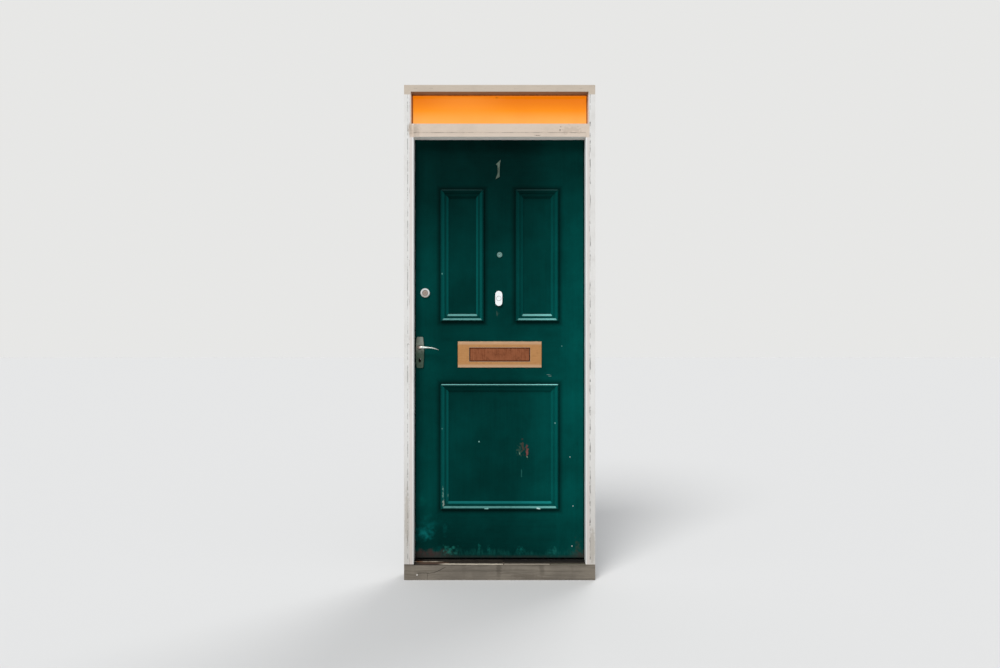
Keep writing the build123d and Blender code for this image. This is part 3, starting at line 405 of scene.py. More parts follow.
def addFootWear(paint, look, gapAndShade):
    # bleached clouds, a ragged scuffed band, brown stain in the corners, bare wood and a painted shade line
    # along the gap under the leaf
    x, z = paint.x, paint.z
    clouds = z.fade(*look["bleachedHeight"]) * paint.dirt(9.0, 0.5, 0.8)
    paint.cover(clouds * x.fade(*look["bleachedLeft"]), look["bleached"])
    rising = noise(vectorCalc("MULTIPLY", paint.here, (150, 150, 24)), 1.0, 5.0, 0.7)
    edge = noise(joined(x, 0.31), 21.0, 5.0, 0.65).scaled(*look["scuffTop"])
    band = (z - edge).fade(0.01, -0.012) * z.fade(*look["scuffFoot"])
    paint.cover(band * rising.fade(0.34, 0.66) * look["scuffStrength"], look["scuff"])
    rough = paint.dirt(38.0, 0.32, 0.66)
    height = rough.scaled(-0.02, z).fade(*look["stainHeight"])
    corner = x.fade(*look["stainLeft"]).most(x.fade(*look["stainRight"]))
    paint.cover(height * corner * rough.scaled(0.35, 0.55), look["stain"])
    paint.cover(z.fade(*look["bareHeight"]) * rough.scaled(0.5, 0.25), look["bare"])
    paint.cover(z.fade(*look["gapShadeHeight"]), gapAndShade)


def addSlotShade(paint, look):
    # dark bare wood inside the letter slot, darkened further as painted shade
    slot = look["slot"]
    soft = slot["soft"]
    start, stop = slot["deep"]
    wide = abs(paint.x).fade(slot["half"][0], slot["half"][0] - soft)
    high = abs(paint.z - slot["middle"]).fade(slot["half"][1], slot["half"][1] - soft)
    deep = paint.y.fade(start, start + soft / 2) * paint.y.fade(stop, stop - soft / 2)
    paint.cover(wide * high * deep, slot["colour"])


def makeLeafPaint(name, look, run, marks, ledge):
    paint = Finish(name, look["roughness"], Specular_IOR_Level=look["sheen"])
    tone, height = paint.effect(brushStrokes, Run=look[run])
    cloudy = paint.dirt(3.1, 0.3, 0.72).scaled(0.55, tone * 0.5)
    paint.colour = paint.mix(cloudy, look["deep"], look["fresh"])
    addPaintedShade(paint, look)
    if ledge:
        addLedges(paint, look, ledge)
    # painted shade towards the top, as under a lintel, and darker towards the foot; painted light at the
    # sides, most at the hinges
    sideLight = paint.x.fade(*look["hingeSideLight"]) * paint.x.fade(*look["latchSideLight"])
    level = paint.z.fade(*look["topShade"]) * sideLight * paint.z.fade(*look["footShade"])
    paint.cover(1.0, joined(level, level, level), "MULTIPLY")
    addFootWear(paint, footWear, look["gapAndShade"])
    paint.addMarks(marks)
    addSlotShade(paint, look)
    paint.show(Base_Color=paint.colour, Roughness=tone.scaled(0.25, look["roughness"] - 0.1))
    paint.addBump(height, 0.35, 0.0006)
    return paint.material


# brush direction, how strong the ledges are, and the pieces
leafCoats = {
    "stile": ("verticalRun", 0.0, "lock_stile", "hinge_stile"),
    "muntin": ("verticalRun", 0.0, "muntin"),
    "rail": ("levelRun", 0.0, "top_rail", "lock_rail", "bottom_rail"),
    "panel": ("verticalRun", 0.0, "upper_left_panel", "upper_right_panel", "lower_panel"),
    "moulding": ("levelRun", 0.85, "upper_left_moulding", "upper_right_moulding", "lower_moulding"),
    "innerBead": ("levelRun", 0.3, "upper_left_inner_bead", "upper_right_inner_bead", "lower_inner_bead"),
}
for label, (run, ledge, *pieces) in leafCoats.items():
    dress(makeLeafPaint(label + "Paint", leafPaint, run, leafMarks.get(label, []), ledge), *pieces)
print("door: leaf painted")


# cream paint on the frame

framePaint = {
    "cream": (225, 224, 221), "beige": (213, 197, 181), "shadedBeige": (196, 183, 167),
    "dirt": (139, 130, 116), "crack": (44, 36, 30), "worn": (168, 154, 136), "roughness": 0.5,
    "grubbyHeight": (0.8, 0.06), "underLighting": (248, 244, 236), "headUnderShade": (120, 104, 88),
    # beside the leaf: a pinkish band and a painted highlight along the arris
    "band": (206, 193, 186), "bandMiddle": 0.422, "bandEdge": (0.008, 0.004),
    "arrisHighlight": (236, 236, 234), "arrisHighlightEdge": (0.4145, 0.4115),
    # the transom's paint laps over the jambs: how far aside, from and up to which height
    "lapAside": (0.4285, 0.4265), "lapLow": (2.104, 2.1055), "lapHigh": (2.1685, 2.1665),
    "smudge": ((-0.425, -0.0475, 2.14), (0.016, 0.03, 0.042), (166, 150, 134), 0.7, 0.6, 60.0, 0.0),
}
# cracks: place across, width, sway, how broken, seed and strength
jambCracks = [
    (0.43, 0.002, 0.01, 0.5, 3.0, 0.9), (0.4265, 0.0011, 0.016, 0.54, 9.0, 0.6),
    (-0.429, 0.0009, 0.018, 0.54, 17.0, 0.5), (-0.4368, 0.0018, 0.01, 0.48, 29.0, 0.55),
]
transomCracks = [(2.1248, 0.0017, 0.0024, 0.36, 5.0, 0.6), (2.146, 0.0007, 0.012, 0.57, 21.0, 0.6)]
headCracks = [(2.335, 0.0012, 0.012, 0.56, 41.0, 0.35)]
jambMarks = [
    ((-0.435, -0.0475, 1.121), (0.0028, 0.02, 0.0028), (70, 62, 54)),
    ((-0.428, -0.0475, 1.118), (0.0022, 0.02, 0.0022), (80, 70, 60)),
    ((-0.44, -0.0475, 0.3), (0.012, 0.02, 0.16), (168, 160, 148), 0.5),
    ((0.44, -0.0475, 0.16), (0.016, 0.02, 0.1), (160, 152, 140), 0.5),
]
transomMarks = [
    ((0.287, -0.0475, 2.138), (0.0042, 0.02, 0.0042), (40, 30, 26)),
    ((0.29, -0.0475, 2.153), (0.0026, 0.02, 0.0026), (96, 78, 66)),
    ((0.34, -0.0475, 2.14), (0.06, 0.02, 0.018), (184, 168, 152), 0.5, 1.2),
    ((0.18, -0.05, 2.112), (0.016, 0.02, 0.0025), (92, 78, 66), 0.9, 0.9),
    ((-0.405, -0.0475, 2.138), (0.04, 0.03, 0.05), (158, 144, 128), 0.6, 0.4, 90.0, 0.0),
]


def makeFramePaint(name, look, body, cracks, marks, level=False, underLighting="underLighting"):
    paint = Finish(name, look["roughness"], Specular_IOR_Level=0.3)
    x, z = paint.x, paint.z
    tone, height = paint.effect(brushStrokes, Run=leafPaint["levelRun" if level else "verticalRun"])
    dirt = paint.dirt(9.0, 0.45, 0.85)

    def coat(tint):
        made = paint.mix(dirt * 0.22, tint, look["dirt"])
        return paint.mix(tone * 0.16, made, look["dirt"])

    paint.colour = coat(look[body])
    paint.cover(z.fade(*look["grubbyHeight"]) * 0.42, look["dirt"])
    lines = joined(z, paint.y, x) if level else paint.here
    split = None
    for *crack, strength in cracks:
        mask = paint.crack(lines, *crack) * strength
        split = mask if split is None else split.most(mask)
    paint.addMarks(marks)
    paint.cover(paint.wear(0.0016, 70.0) * 0.35, look["worn"])
    if not level:
        across = abs(x)
        band = abs(across - look["bandMiddle"]).fade(*look["bandEdge"])
        paint.cover(band * 0.55, look["band"])
        # painted highlight along the arris beside the leaf
        paint.cover(across.fade(*look["arrisHighlightEdge"]) * 0.6, look["arrisHighlight"])
        stray = noise(paint.here, 75.0, 5.0, 0.6).scaled(0.022, -0.011)
        high = z + stray
        over = high.fade(*look["lapLow"]) * high.fade(*look["lapHigh"])
        paint.cover(over * (across + stray).fade(*look["lapAside"]), coat(look["beige"]))
        paint.addMark(*look["smudge"])
    # undersides: painted light under the jamb and transom, painted shade under the head
    down = axes(paint.facing)[2].fade(-0.5, -0.9)
    paint.cover(down * 0.95, look[underLighting])
    paint.cover(split * 0.9, look["crack"])
    paint.show(Base_Color=paint.colour, Roughness=tone.scaled(0.25, look["roughness"] - 0.12))
    paint.addBump(height - split * 3.0, 0.35, 0.0006)
    return paint.material


dress(makeFramePaint("jambPaint", framePaint, "cream", jambCracks, jambMarks), "latch_jamb", "hinge_jamb")
dress(makeFramePaint("transomPaint", framePaint, "beige", transomCracks, transomMarks, level=True), "transom")
dress(makeFramePaint("headPaint", framePaint, "shadedBeige", headCracks, [], level=True, underLighting="headUnderShade"),
      "frame_head")


# the worn strip under the leaf and the weathered sill

stripFinish = {
    "left": (196, 184, 164), "right": (134, 132, 126), "rust": (140, 92, 62), "dirt": (104, 96, 84),
    "gapAndShade": (8, 8, 8), "break": 0.016, "breakEdge": 0.004, "rustyEnd": (-0.3, -0.405),
    "shadedTop": (0.0768, 0.0786), "shadedFace": (-0.31, -0.262),
}


def makeStripPaint(look):
    paint = Finish("wornStripPaint", 0.7, Specular_IOR_Level=0.05)
    middle, edge = look["break"], look["breakEdge"]
    side = paint.x.fade(middle - edge, middle + edge)
    paint.colour = paint.mix(side, look["left"], look["right"])
    paint.cover(paint.x.fade(*look["rustyEnd"]) * paint.dirt(45.0, 0.35, 0.6), look["rust"])
    dirt = paint.dirt(30.0, 0.42, 0.68)
    paint.cover(dirt * 0.55, look["dirt"])
    split = paint.crack(paint.here, middle, 0.0018, 0.003, -1.0, 2.0)
    # the top and most of the face are in the leaf's shade
    outward = axes(paint.facing)[1].fade(-0.3, -0.8)
    face = outward * paint.x.fade(*look["shadedFace"])
    shaded = paint.z.fade(*look["shadedTop"]).most(face) * 0.95
    paint.cover(split.most(shaded), look["gapAndShade"])
    paint.show(Base_Color=paint.colour)
    paint.addBump(dirt - split, 0.4, 0.0008)
    return paint.material


sillFinish = {
    "face": (110, 103, 93), "pale": (128, 120, 108), "grain": (88, 82, 73), "stain": (66, 60, 52),
    "run": (9, 160, 260), "streakHeight": (0.005, 0.05), "streakSway": 0.024,
    # a thin split runs level and then rises to the right, with a short upright one below it
    "split": (34, 28, 24), "splitHeight": 0.0335, "splitRise": (0.5, 0.156), "splitWidth": (0.0014, 0.0005),
    "splitLeft": (-0.395, -0.385), "splitRight": (-0.25, -0.264),
    "shortPlace": -0.3424, "shortWidth": (0.0012, 0.0004), "shortTop": (0.036, 0.032, 0.0, 0.7),
    # the ledge in front of the leaf, where what lies left of the break slants a little
    "top": (74, 64, 55), "topLeft": (30, 25, 22), "topBreak": (0.02, 0.01), "slant": (-0.37, 0.0, 0.0, 0.003),
    # lines on the ledge: from, to, deep, near the leaf, strength and tint
    "lines": [(-0.409, -0.24, -0.04, -0.013, 0.8, (74, 52, 40)),
              (-0.3, 0.018, -0.0425, -0.0275, 0.9, (206, 195, 176)),
              # the near-black line beside the leaf is painted shade under the leaf's edge
              (0.018, 0.41, -0.03, -0.013, 0.95, (14, 13, 12)),
              (0.018, 0.24, -0.044, -0.031, 0.75, (178, 168, 152)),
              (0.24, 0.41, -0.043, -0.033, 0.5, (140, 140, 122))],
    # along the face's top edge: a pale lip, and a dark seam that ends right of the middle
    "lip": (168, 158, 144), "lipHeight": (0.07, 0.0735),
    "seam": (46, 34, 28), "seamHeight": (0.0698, 0.0712), "seamEnd": (0.26, 0.2),
}
# stains down the face: place across, width, seed and how dark
sillStreaks = [(-0.17, 0.01, 4.0, 0.14), (-0.004, 0.02, 8.0, 0.5), (0.2, 0.014, 12.0, 0.4),
               (0.345, 0.012, 19.0, 0.12)]
sillMarks = [((-0.392, -0.0475, 0.0245), (0.004, 0.02, 0.004), (222, 218, 210)),
             ((0.12, -0.0475, 0.02), (0.08, 0.02, 0.01), (92, 84, 74), 0.5)]


def makeLedge(paint, wobble, look):
    ledge = paint.mix(paint.x.fade(*look["topBreak"]), look["top"], look["topLeft"])
    wander = wobble.scaled(0.006, paint.y)
    slanted = wander + paint.x.fade(*look["slant"])
    for start, stop, low, high, strength, tint in look["lines"]:
        place, soft = (slanted, 0.05) if start < 0 else (wander, 0.006)
        line = place.fade(low, low + 0.002) * place.fade(high, high - 0.002)
        span = paint.x.fade(start, start + soft) * paint.x.fade(stop, stop - 0.004)
        ledge = paint.mix(line * span * strength, ledge, tint)
    return ledge


def makeSillFinish(look):
    paint = Finish("weatheredSill", 0.75, Specular_IOR_Level=0.2)
    x, z = paint.x, paint.z
    tone, height = paint.effect(brushStrokes, Run=look["run"])
    paint.colour = paint.mix(paint.dirt(7.0, 0.35, 0.7), look["face"], look["pale"])
    paint.cover(tone.fade(0.42, 0.66, 0.0, 0.75), look["grain"])
    for across, width, seed, deep in sillStreaks:
        streak = paint.crack(paint.here, across, width, look["streakSway"], -1.0, seed)
        paint.cover(streak * z.fade(*look["streakHeight"], deep * 0.3, deep), look["stain"])
    wobble = noise(paint.here, 40.0, 4.0) - 0.5
    rise = x.scaled(*look["splitRise"]).most(0.0)
    tilted = abs(wobble.scaled(0.008, z - look["splitHeight"] - rise))
    reach = x.fade(*look["splitLeft"]) * x.fade(*look["splitRight"])
    upright = abs(wobble.scaled(0.006, x - look["shortPlace"])).fade(*look["shortWidth"])
    split = (tilted.fade(*look["splitWidth"]) * reach).most(upright * z.fade(*look["shortTop"]))
    paint.cover(split, look["split"])
    up = axes(paint.facing)[2]
    paint.cover(up.fade(0.3, 0.9) * 0.9, makeLedge(paint, wobble, look))
    face = up.fade(0.5, 0.2)
    paint.cover(z.fade(*look["lipHeight"]) * face * 0.35, look["lip"])
    seam = z.fade(*look["seamHeight"]) * face * x.fade(*look["seamEnd"])
    paint.cover(seam * 0.8, look["seam"])
    paint.addMarks(sillMarks)
    paint.show(Base_Color=paint.colour)
    paint.addBump(height - split * 3.0, 0.6, 0.001)
    return paint.material


dress(makeStripPaint(stripFinish), "threshold_strip")
dress(makeSillFinish(sillFinish), "sill")
print("door: frame painted")


# amber pane and its dirty putty, both with a painted glow as from a lit room behind

paneGlow = {
    "top": (228, 121, 0), "middle": (243, 144, 10), "low": (250, 172, 82), "height": (2.175, 2.315),
    "strength": 0.92, "mottle": (226, 112, 10), "bright": (255, 168, 66), "brightPlace": -0.17,
    "brightReach": (0.26, 0.02, 0.0, 0.3), "edge": (110, 62, 16), "edgeHeight": (2.1745, 2.1715, 0.0, 0.75),
    "mark": ((-0.013, 0.0035, 2.309), (0.012, 0.02, 0.005), (150, 84, 20), 0.9, 0.4, 90.0, -0.2),
    "unlit": (0.16, 0.12, 0.1, 1.0),
}
puttyLook = {"dark": (120, 62, 22), "light": (160, 92, 38), "litAside": (0.4185, 0.4168),
             "litHeight": (2.3168, 2.315), "glowHeight": (2.19, 2.3)}


def makePane(look):
    # the pane's emission is painted light of the lit room behind
    glass = Finish("amberPane", 0.12, Transmission_Weight=0.25, IOR=1.46, Specular_IOR_Level=0.2,
                   Emission_Strength=look["strength"])
    ramp = addNode(glass.tree, "ValToRGB", {"Fac": glass.z.fade(*look["height"])})
    ramp.color_ramp.elements[0].color = screen(*look["low"])
    ramp.color_ramp.elements[1].color = screen(*look["top"])
    ramp.color_ramp.elements.new(0.5).color = screen(*look["middle"])
    glass.colour = Signal(ramp.outputs[0])
    glass.cover(glass.dirt(5.0, 0.35, 0.8) * 0.18, look["mottle"])
    glass.cover(abs(glass.x - look["brightPlace"]).fade(*look["brightReach"]), look["bright"])
    glass.addMark(*look["mark"])
    glass.cover(glass.z.fade(*look["edgeHeight"]), look["edge"])
    glass.show(Emission_Color=glass.colour,
               Base_Color=glass.mix(1.0, glass.colour, look["unlit"], "MULTIPLY"))
    return glass.material


def makePutty(look):
    putty = Finish("brownPutty", 0.7, Specular_IOR_Level=0.2, Emission_Strength=0.85)
    dirt = putty.dirt(60.0, 0.35, 0.65)
    # a painted glow on the thin inner part, as where the pane's light would show through
    thin = abs(putty.x).fade(*look["litAside"]) * putty.z.fade(*look["litHeight"])
    glow = putty.mix(putty.z.fade(*look["glowHeight"]), paneGlow["low"], paneGlow["top"])
    putty.show(Base_Color=putty.mix(dirt, look["dark"], look["light"]),
               Emission_Color=putty.mix(thin * dirt.scaled(-0.2, 1.0), (0, 0, 0), glow))
    putty.addBump(dirt, 0.5, 0.0008)
    return putty.material


dress(makePane(paneGlow), "fanlight_glass")
dress(makePutty(puttyLook), "glazing_putty")


# metals: bright, dull and tarnished tone, how the scratches run, and how strong tarnish and worn edges are

metalLooks = {
    "wornBrass": {
        "tones": ((200, 148, 97), (186, 134, 86), (150, 106, 68)), "roughness": 0.34, "run": (30, 200, 900),
        "spots": 0.35, "edges": 0.15, "on": ("letter_plate", "inner_letter_frame", "letter_bolts"),
        "edgeLighting": {"middle": (0.0, 1.07), "half": (0.3, 0.0635), "reach": 0.021, "colour": (204, 166, 132)},
    },
    "browned": {
        "tones": ((158, 98, 68), (132, 76, 50), (84, 46, 30)), "roughness": 0.38, "run": (700, 200, 14),
        "spots": 0.6, "edges": 0.0, "on": ("letter_flap",),
        "edgeLighting": {"middle": (0.0, 1.07), "half": (0.1467, 0.0337), "reach": 0.007, "colour": (54, 26, 18)},
    },
    "boltBrass": {
        "tones": ((214, 182, 118), (186, 150, 92), (120, 92, 56)), "roughness": 0.28, "run": (40, 600, 600),
        "spots": 0.3, "on": ("latch_bolt", "dead_bolt", "night_latch_bolt"),
    },
    "keyBrass": {
        "tones": ((182, 166, 156), (160, 142, 132), (104, 86, 78)), "roughness": 0.32, "run": (500, 60, 500),
        "spots": 0.35, "on": ("cylinder_body", "cylinder_plug"),
        "disc": {"at": (-0.359, 0.0255, 1.367), "radius": 0.0165, "colour": (52, 46, 44)},
        "marks": [((-0.359, 0.0, 1.367), (0.0022, 0.03, 0.0062), (208, 190, 178), 0.9, 0.2),
                  ((-0.359, 0.0, 1.367), (0.0009, 0.03, 0.005), (20, 16, 16), 0.9, 0.1)],
    },
    "dullZinc": {
        "tones": ((140, 148, 139), (116, 122, 112), (72, 76, 60)), "roughness": 0.45, "run": (60, 200, 700),
        "spots": 0.55, "on": ("outer_backplate", "inner_backplate"),
        "lower": {"height": (1.104, 1.07), "colour": (50, 72, 58)},
        # painted shade inside the keyhole, then a pinkish tint round the spindle
        "marks": [((-0.384, 0.0255, 1.0425), (0.0072, 0.5, 0.014), (2, 2, 2), 1.0, 0.05),
                  ((-0.39, 0.0255, 1.104), (0.016, 0.5, 0.013), (158, 124, 110), 0.6, 0.5, 90.0, 0.0)],
    },
    "hingeSteel": {
        "tones": ((150, 148, 144), (118, 114, 108), (96, 62, 42)), "roughness": 0.42, "run": (60, 300, 700),
        "spots": 0.5, "on": ("frame_hinge_top", "frame_hinge_middle", "frame_hinge_bottom",
                             "leaf_hinge_top", "leaf_hinge_middle", "leaf_hinge_bottom"),
    },
    "lockSteel": {
        "tones": ((168, 167, 164), (138, 136, 132), (104, 78, 58)), "roughness": 0.38, "run": (300, 60, 800),
        "spots": 0.4, "on": ("strike_plate", "lock_case", "lock_follower", "lever_spindle"),
        # painted shade inside the keyhole
        "marks": [((-0.384, 0.0255, 1.0425), (0.012, 0.5, 0.016), (2, 2, 2), 0.9, 0.0)],
    },
    "brightRing": {
        "tones": ((238, 240, 240), (214, 216, 216), (150, 146, 140)), "roughness": 0.2, "run": (400, 60, 400),
        "spots": 0.18, "on": ("cylinder_ring",),
        "lower": {"height": (1.372, 1.348), "colour": (176, 168, 158)},
    },
    "screwSteel": {
        "tones": ((214, 212, 206), (184, 181, 174), (96, 82, 70)), "roughness": 0.3, "run": (500, 500, 60),
        "spots": 0.3, "on": (),
    },
    "viewerMetal": {
        "tones": ((122, 160, 154), (94, 130, 124), (70, 84, 78)), "roughness": 0.34, "run": (400, 60, 400),
        "spots": 0.4, "on": ("viewer_barrel", "viewer_nut"),
    },
    "numeralMetal": {
        "tones": ((92, 106, 96), (66, 80, 71), (34, 44, 38)), "roughness": 0.5, "run": (300, 60, 90),
        "spots": 0.5, "on": ("numeral_one",),
    },
    "knobMetal": {
        "tones": ((196, 190, 176), (164, 156, 140), (110, 98, 80)), "roughness": 0.3, "run": (500, 60, 500),
        "spots": 0.35, "on": ("night_latch_knob", "night_latch_snib"),
    },
    "satinLever": {
        "tones": ((204, 210, 205), (166, 176, 169), (112, 96, 88)), "roughness": 0.33, "run": (50, 500, 500),
        "spots": 0.3, "on": ("outer_lever", "inner_lever"),
        "marks": [((-0.384, 0.0255, 1.104), (0.018, 0.5, 0.017), (180, 142, 128), 0.8, 0.5, 90.0, 0.0)],
    },
}


def addEdgeLighting(metal, edgeLighting):
    # a painted tone near the edges: painted reflection on the letter plate's bevels, painted shade of the
    # plate round the recessed flap
    reach = edgeLighting["reach"]
    sides = []
    for place, middle, half in zip((metal.x, metal.z), edgeLighting["middle"], edgeLighting["half"]):
        sides.append(abs(place - middle).fade(half - reach, half - reach * 0.35))
    metal.cover(sides[0].most(sides[1]), edgeLighting["colour"])


def makeMetal(name, look):
    metal = Finish(name, look["roughness"], Metallic=1.0)
    patina, scratches = metal.effect(tarnish, Run=look["run"], Start=0.42, Full=0.74)
    bright, dull, spot = look["tones"]
    metal.colour = metal.mix(scratches, bright, dull)
    metal.cover(patina * look["spots"], spot)
    edges = look.get("edges", 0.5)
    if edges:
        metal.cover(metal.wear(0.0008, 260.0) * edges, bright)
    if "edgeLighting" in look:
        addEdgeLighting(metal, look["edgeLighting"])
    # painted shade over the lower part
    if "lower" in look:
        metal.cover(metal.z.fade(*look["lower"]["height"]) * 0.8, look["lower"]["colour"])
    if "disc" in look:
        # a dark line round the face
        disc = look["disc"]
        face = metal.effect(markAt, Centre=disc["at"], Size=(disc["radius"], 0.5, disc["radius"]), Ragged=0.0)
        metal.colour = metal.mix(face, disc["colour"], metal.colour)
    metal.addMarks(look.get("marks", []))
    rough = patina.scaled(0.22, look["roughness"] - 0.04)
    metal.show(Base_Color=metal.colour, Roughness=scratches.scaled(0.08, rough))
    metal.addBump(scratches, 0.12, 0.0003)
    return metal.material


metals = {}
for metalName, look in metalLooks.items():
    metals[metalName] = makeMetal(metalName, look)
    dress(metals[metalName], *look["on"])
print("door: metals ready")


# enamel, plastic and the viewer's lens

enamelLook = {"light": (112, 100, 82), "dark": (86, 76, 62), "worn": (176, 160, 128)}
plasticLook = {"clean": (240, 243, 243), "dirty": (212, 211, 200), "roughness": 0.3, "joint": (138, 140, 138),
               "middle": (-0.004, 0.0, 1.34), "radius": 0.0113, "width": (0.0016, 0.0006)}
lensLook = {"clear": (160, 186, 178), "hazy": (124, 146, 140), "roughness": 0.05}


def makeEnamel(look):
    enamel = Finish("latchEnamel", 0.35, Coat_Weight=0.2)
    enamel.colour = enamel.mix(enamel.dirt(50.0, 0.5, 0.8), look["light"], look["dark"])
    enamel.cover(enamel.wear(0.0012, 200.0) * 0.8, look["worn"])
    enamel.show(Base_Color=enamel.colour)
    enamel.addBump(noise(enamel.here, 1400.0, 2.0), 0.2, 0.0003)
    return enamel.material


def makePlastic(look):
    plastic = Finish("whitePlastic", look["roughness"])
    dirt = plastic.dirt(70.0, 0.45, 0.8)
    plastic.colour = plastic.mix(dirt * 0.35, look["clean"], look["dirty"])
    # grime and painted shade in the joint round the button
    offset = vectorCalc("SUBTRACT", joined(plastic.x, 0.0, plastic.z), look["middle"])
    away = vectorCalc("LENGTH", offset) - look["radius"]
    plastic.cover(abs(away).fade(*look["width"]) * 0.7, look["joint"])
    plastic.show(Base_Color=plastic.colour, Roughness=dirt.scaled(0.2, look["roughness"] - 0.06))
    return plastic.material


def makeLens(look):
    lens = Finish("viewerLens", look["roughness"], Transmission_Weight=0.8, IOR=1.5)
    haze = lens.dirt(180.0, 0.4, 0.7)
    lens.show(Base_Color=lens.mix(haze, look["clear"], look["hazy"]),
              Roughness=haze.scaled(0.15, look["roughness"] - 0.01))
    return lens.material


dress(makeEnamel(enamelLook), "night_latch_case", "latch_keep")
dress(makePlastic(plasticLook), "bell_base", "bell_button")
dress(makeLens(lensLook), "viewer_lens")
print("door: finishes done")


# modelled pieces

def startPiece(name):
    if bpy.context.object and bpy.context.object.mode != "OBJECT":
        bpy.ops.object.mode_set(mode="OBJECT")
    bpy.ops.object.select_all(action="DESELECT")
    print("door: making", name)


def goTo(mode):
    bpy.ops.object.mode_set(mode=mode)


def selectAll():
    bpy.ops.mesh.select_all(action="SELECT")


def extrude(step):
    bpy.ops.mesh.extrude_region_move(TRANSFORM_OT_translate={"value": step})


def applyPlace():
    bpy.ops.object.transform_apply(location=True, rotation=True, scale=True)


def selectVertices(piece, chosen):
    goTo("OBJECT")
    for item in (*piece.data.polygons, *piece.data.edges):
        item.select = False
    for vertex in piece.data.vertices:
        vertex.select = chosen(vertex.co)
    goTo("EDIT")
    bpy.ops.mesh.select_mode(type="VERT")


def copyPiece(piece):
    # a copy with a mesh of its own, selected and active
    twin = piece.copy()
    twin.data = piece.data.copy()
    bpy.context.collection.objects.link(twin)
    bpy.ops.object.select_all(action="DESELECT")
    twin.select_set(True)
    bpy.context.view_layer.objects.active = twin
    return twin


def closeSkin():
    # all faces look outwards
    selectAll()
    bpy.ops.mesh.normals_make_consistent(inside=False)


def finishPiece(piece, name, material, body):
    goTo("OBJECT")
    piece.name = name
    applyPlace()
    piece.data.materials.clear()
    piece.data.materials.append(material)
    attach(piece, body)


lever = {
    "spindle": (-0.384, 1.104), "foot": -0.0009, "neck": 0.0088, "middle": 0.0255,
    # where each step ends, how much it turns, and how much wider, deeper and higher the rod gets there
    "steps": [((-0.384, -0.012, 1.104), 0, (0.94,) * 3), ((-0.384, -0.027, 1.104), 0, (1.02,) * 3),
              ((-0.3828, -0.0328, 1.104), 32, (0.98,) * 3), ((-0.3785, -0.036, 1.104), 32, (0.92,) * 3),
              ((-0.3715, -0.0362, 1.1042), 26, (0.98,) * 3), ((-0.359, -0.0362, 1.1046), 0, (1, 0.86, 0.84)),
              ((-0.34, -0.0362, 1.1042), 0, (1, 1.0, 0.78)), ((-0.32, -0.0362, 1.1022), 0, (1, 0.96, 0.86)),
              ((-0.304, -0.036, 1.0986), 0, (1, 0.94, 0.8)), ((-0.2935, -0.0358, 1.0944), 0, (1, 0.88, 0.74)),
              ((-0.2892, -0.0357, 1.092), 0, (1, 0.62, 0.52))],
}


def makeLever():
    startPiece("levers")
    at = Vector((lever["spindle"][0], lever["foot"], lever["spindle"][1]))
    bpy.ops.mesh.primitive_circle_add(vertices=16, radius=lever["neck"], fill_type="NGON", location=at,
                                      rotation=(math.radians(90), 0, 0))
    piece = bpy.context.object
    applyPlace()
    goTo("EDIT")
    selectAll()
    for place, turn, swell in lever["steps"]:
        to = Vector(place)
        extrude(to - at)
        if turn:
            bpy.ops.transform.rotate(value=math.radians(-turn), orient_axis="Z", center_override=to)
        bpy.ops.transform.resize(value=swell, center_override=to)
        at = to
    closeSkin()
    goTo("OBJECT")
    smoother = piece.modifiers.new("smoother", "SUBSURF")
    smoother.levels = smoother.render_levels = 2
    bpy.ops.object.modifier_apply(modifier="smoother")
    bpy.ops.object.shade_smooth()
    finishPiece(piece, "outerLeverBody", metals["satinLever"], "lever")
    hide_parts("outer_lever")
    # the inner lever is the outer one's mirror image
    startPiece("inner lever")
    twin = copyPiece(piece)
    goTo("EDIT")
    selectAll()
    bpy.ops.transform.resize(value=(1, -1, 1), center_override=(0, lever["middle"], 0))
    closeSkin()
    finishPiece(twin, "innerLeverBody", metals["satinLever"], "lever")
    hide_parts("inner_lever")


screw = {"radius": 0.0041, "height": 0.0011, "edge": 0.0003, "slot": 0.0012, "slotDepth": 0.0006}


def makeScrewHead():
    startPiece("screws")
    bpy.ops.mesh.primitive_cylinder_add(vertices=24, radius=screw["radius"], depth=screw["height"])
    head = bpy.context.object
    goTo("EDIT")
    bpy.ops.mesh.select_mode(type="FACE")
    selectVertices(head, lambda point: point.z > 0)
    bpy.ops.mesh.bevel(offset=screw["edge"], segments=2, affect="EDGES")
    selectAll()
    for side in (-1, 1):
        bpy.ops.mesh.bisect(plane_co=(side * screw["slot"] / 2, 0, 0), plane_no=(1, 0, 0))
        selectAll()
    bpy.ops.mesh.select_all(action="DESELECT")
    goTo("OBJECT")
    for face in head.data.polygons:
        onTop = abs(face.center.z - screw["height"] / 2) < 0.00005
        face.select = onTop and face.normal.z > 0.9 and abs(face.center.x) < screw["slot"] * 0.4
    goTo("EDIT")
    bpy.ops.mesh.select_mode(type="FACE")
    extrude((0, 0, -screw["slotDepth"]))
    goTo("OBJECT")
    return head


# hinge screws: the middle of each hinge, then how far each screw is above it and how deep it sits
hingeHeights = {"top": 1.915, "middle": 1.1115, "bottom": 0.308}
hingeHoles = [(-0.037, 0.03), (0.0, 0.041), (0.037, 0.03)]
# pairs of screws: name, place of the upper one, height of the lower one, the way the heads look, the turns of
# their slots, body, finish and slot name
screwPairs = [
    ("outerPlateScrew", (-0.384, -0.0045, 1.146), 1.014, "front", (20, 71), "leaf", "dullZinc", "dull_zinc"),
    ("innerPlateScrew", (-0.384, 0.0555, 1.146), 1.014, "back", (104, 8), "leaf", "dullZinc", "dull_zinc"),
    ("forendScrew", (-0.4189, 0.0255, 1.163), 0.989, "left", (15, 80), "leaf", "screwSteel", "lock_steel"),
    ("strikeScrew", (-0.4221, 0.04, 1.141), 1.04, "right", (50, 130), "frame", "screwSteel", "lock_steel"),
    ("keepScrew", (-0.4412, 0.0745, 1.391), 1.343, "back", (24, 96), "frame", "boltBrass", "bolt_brass"),
]


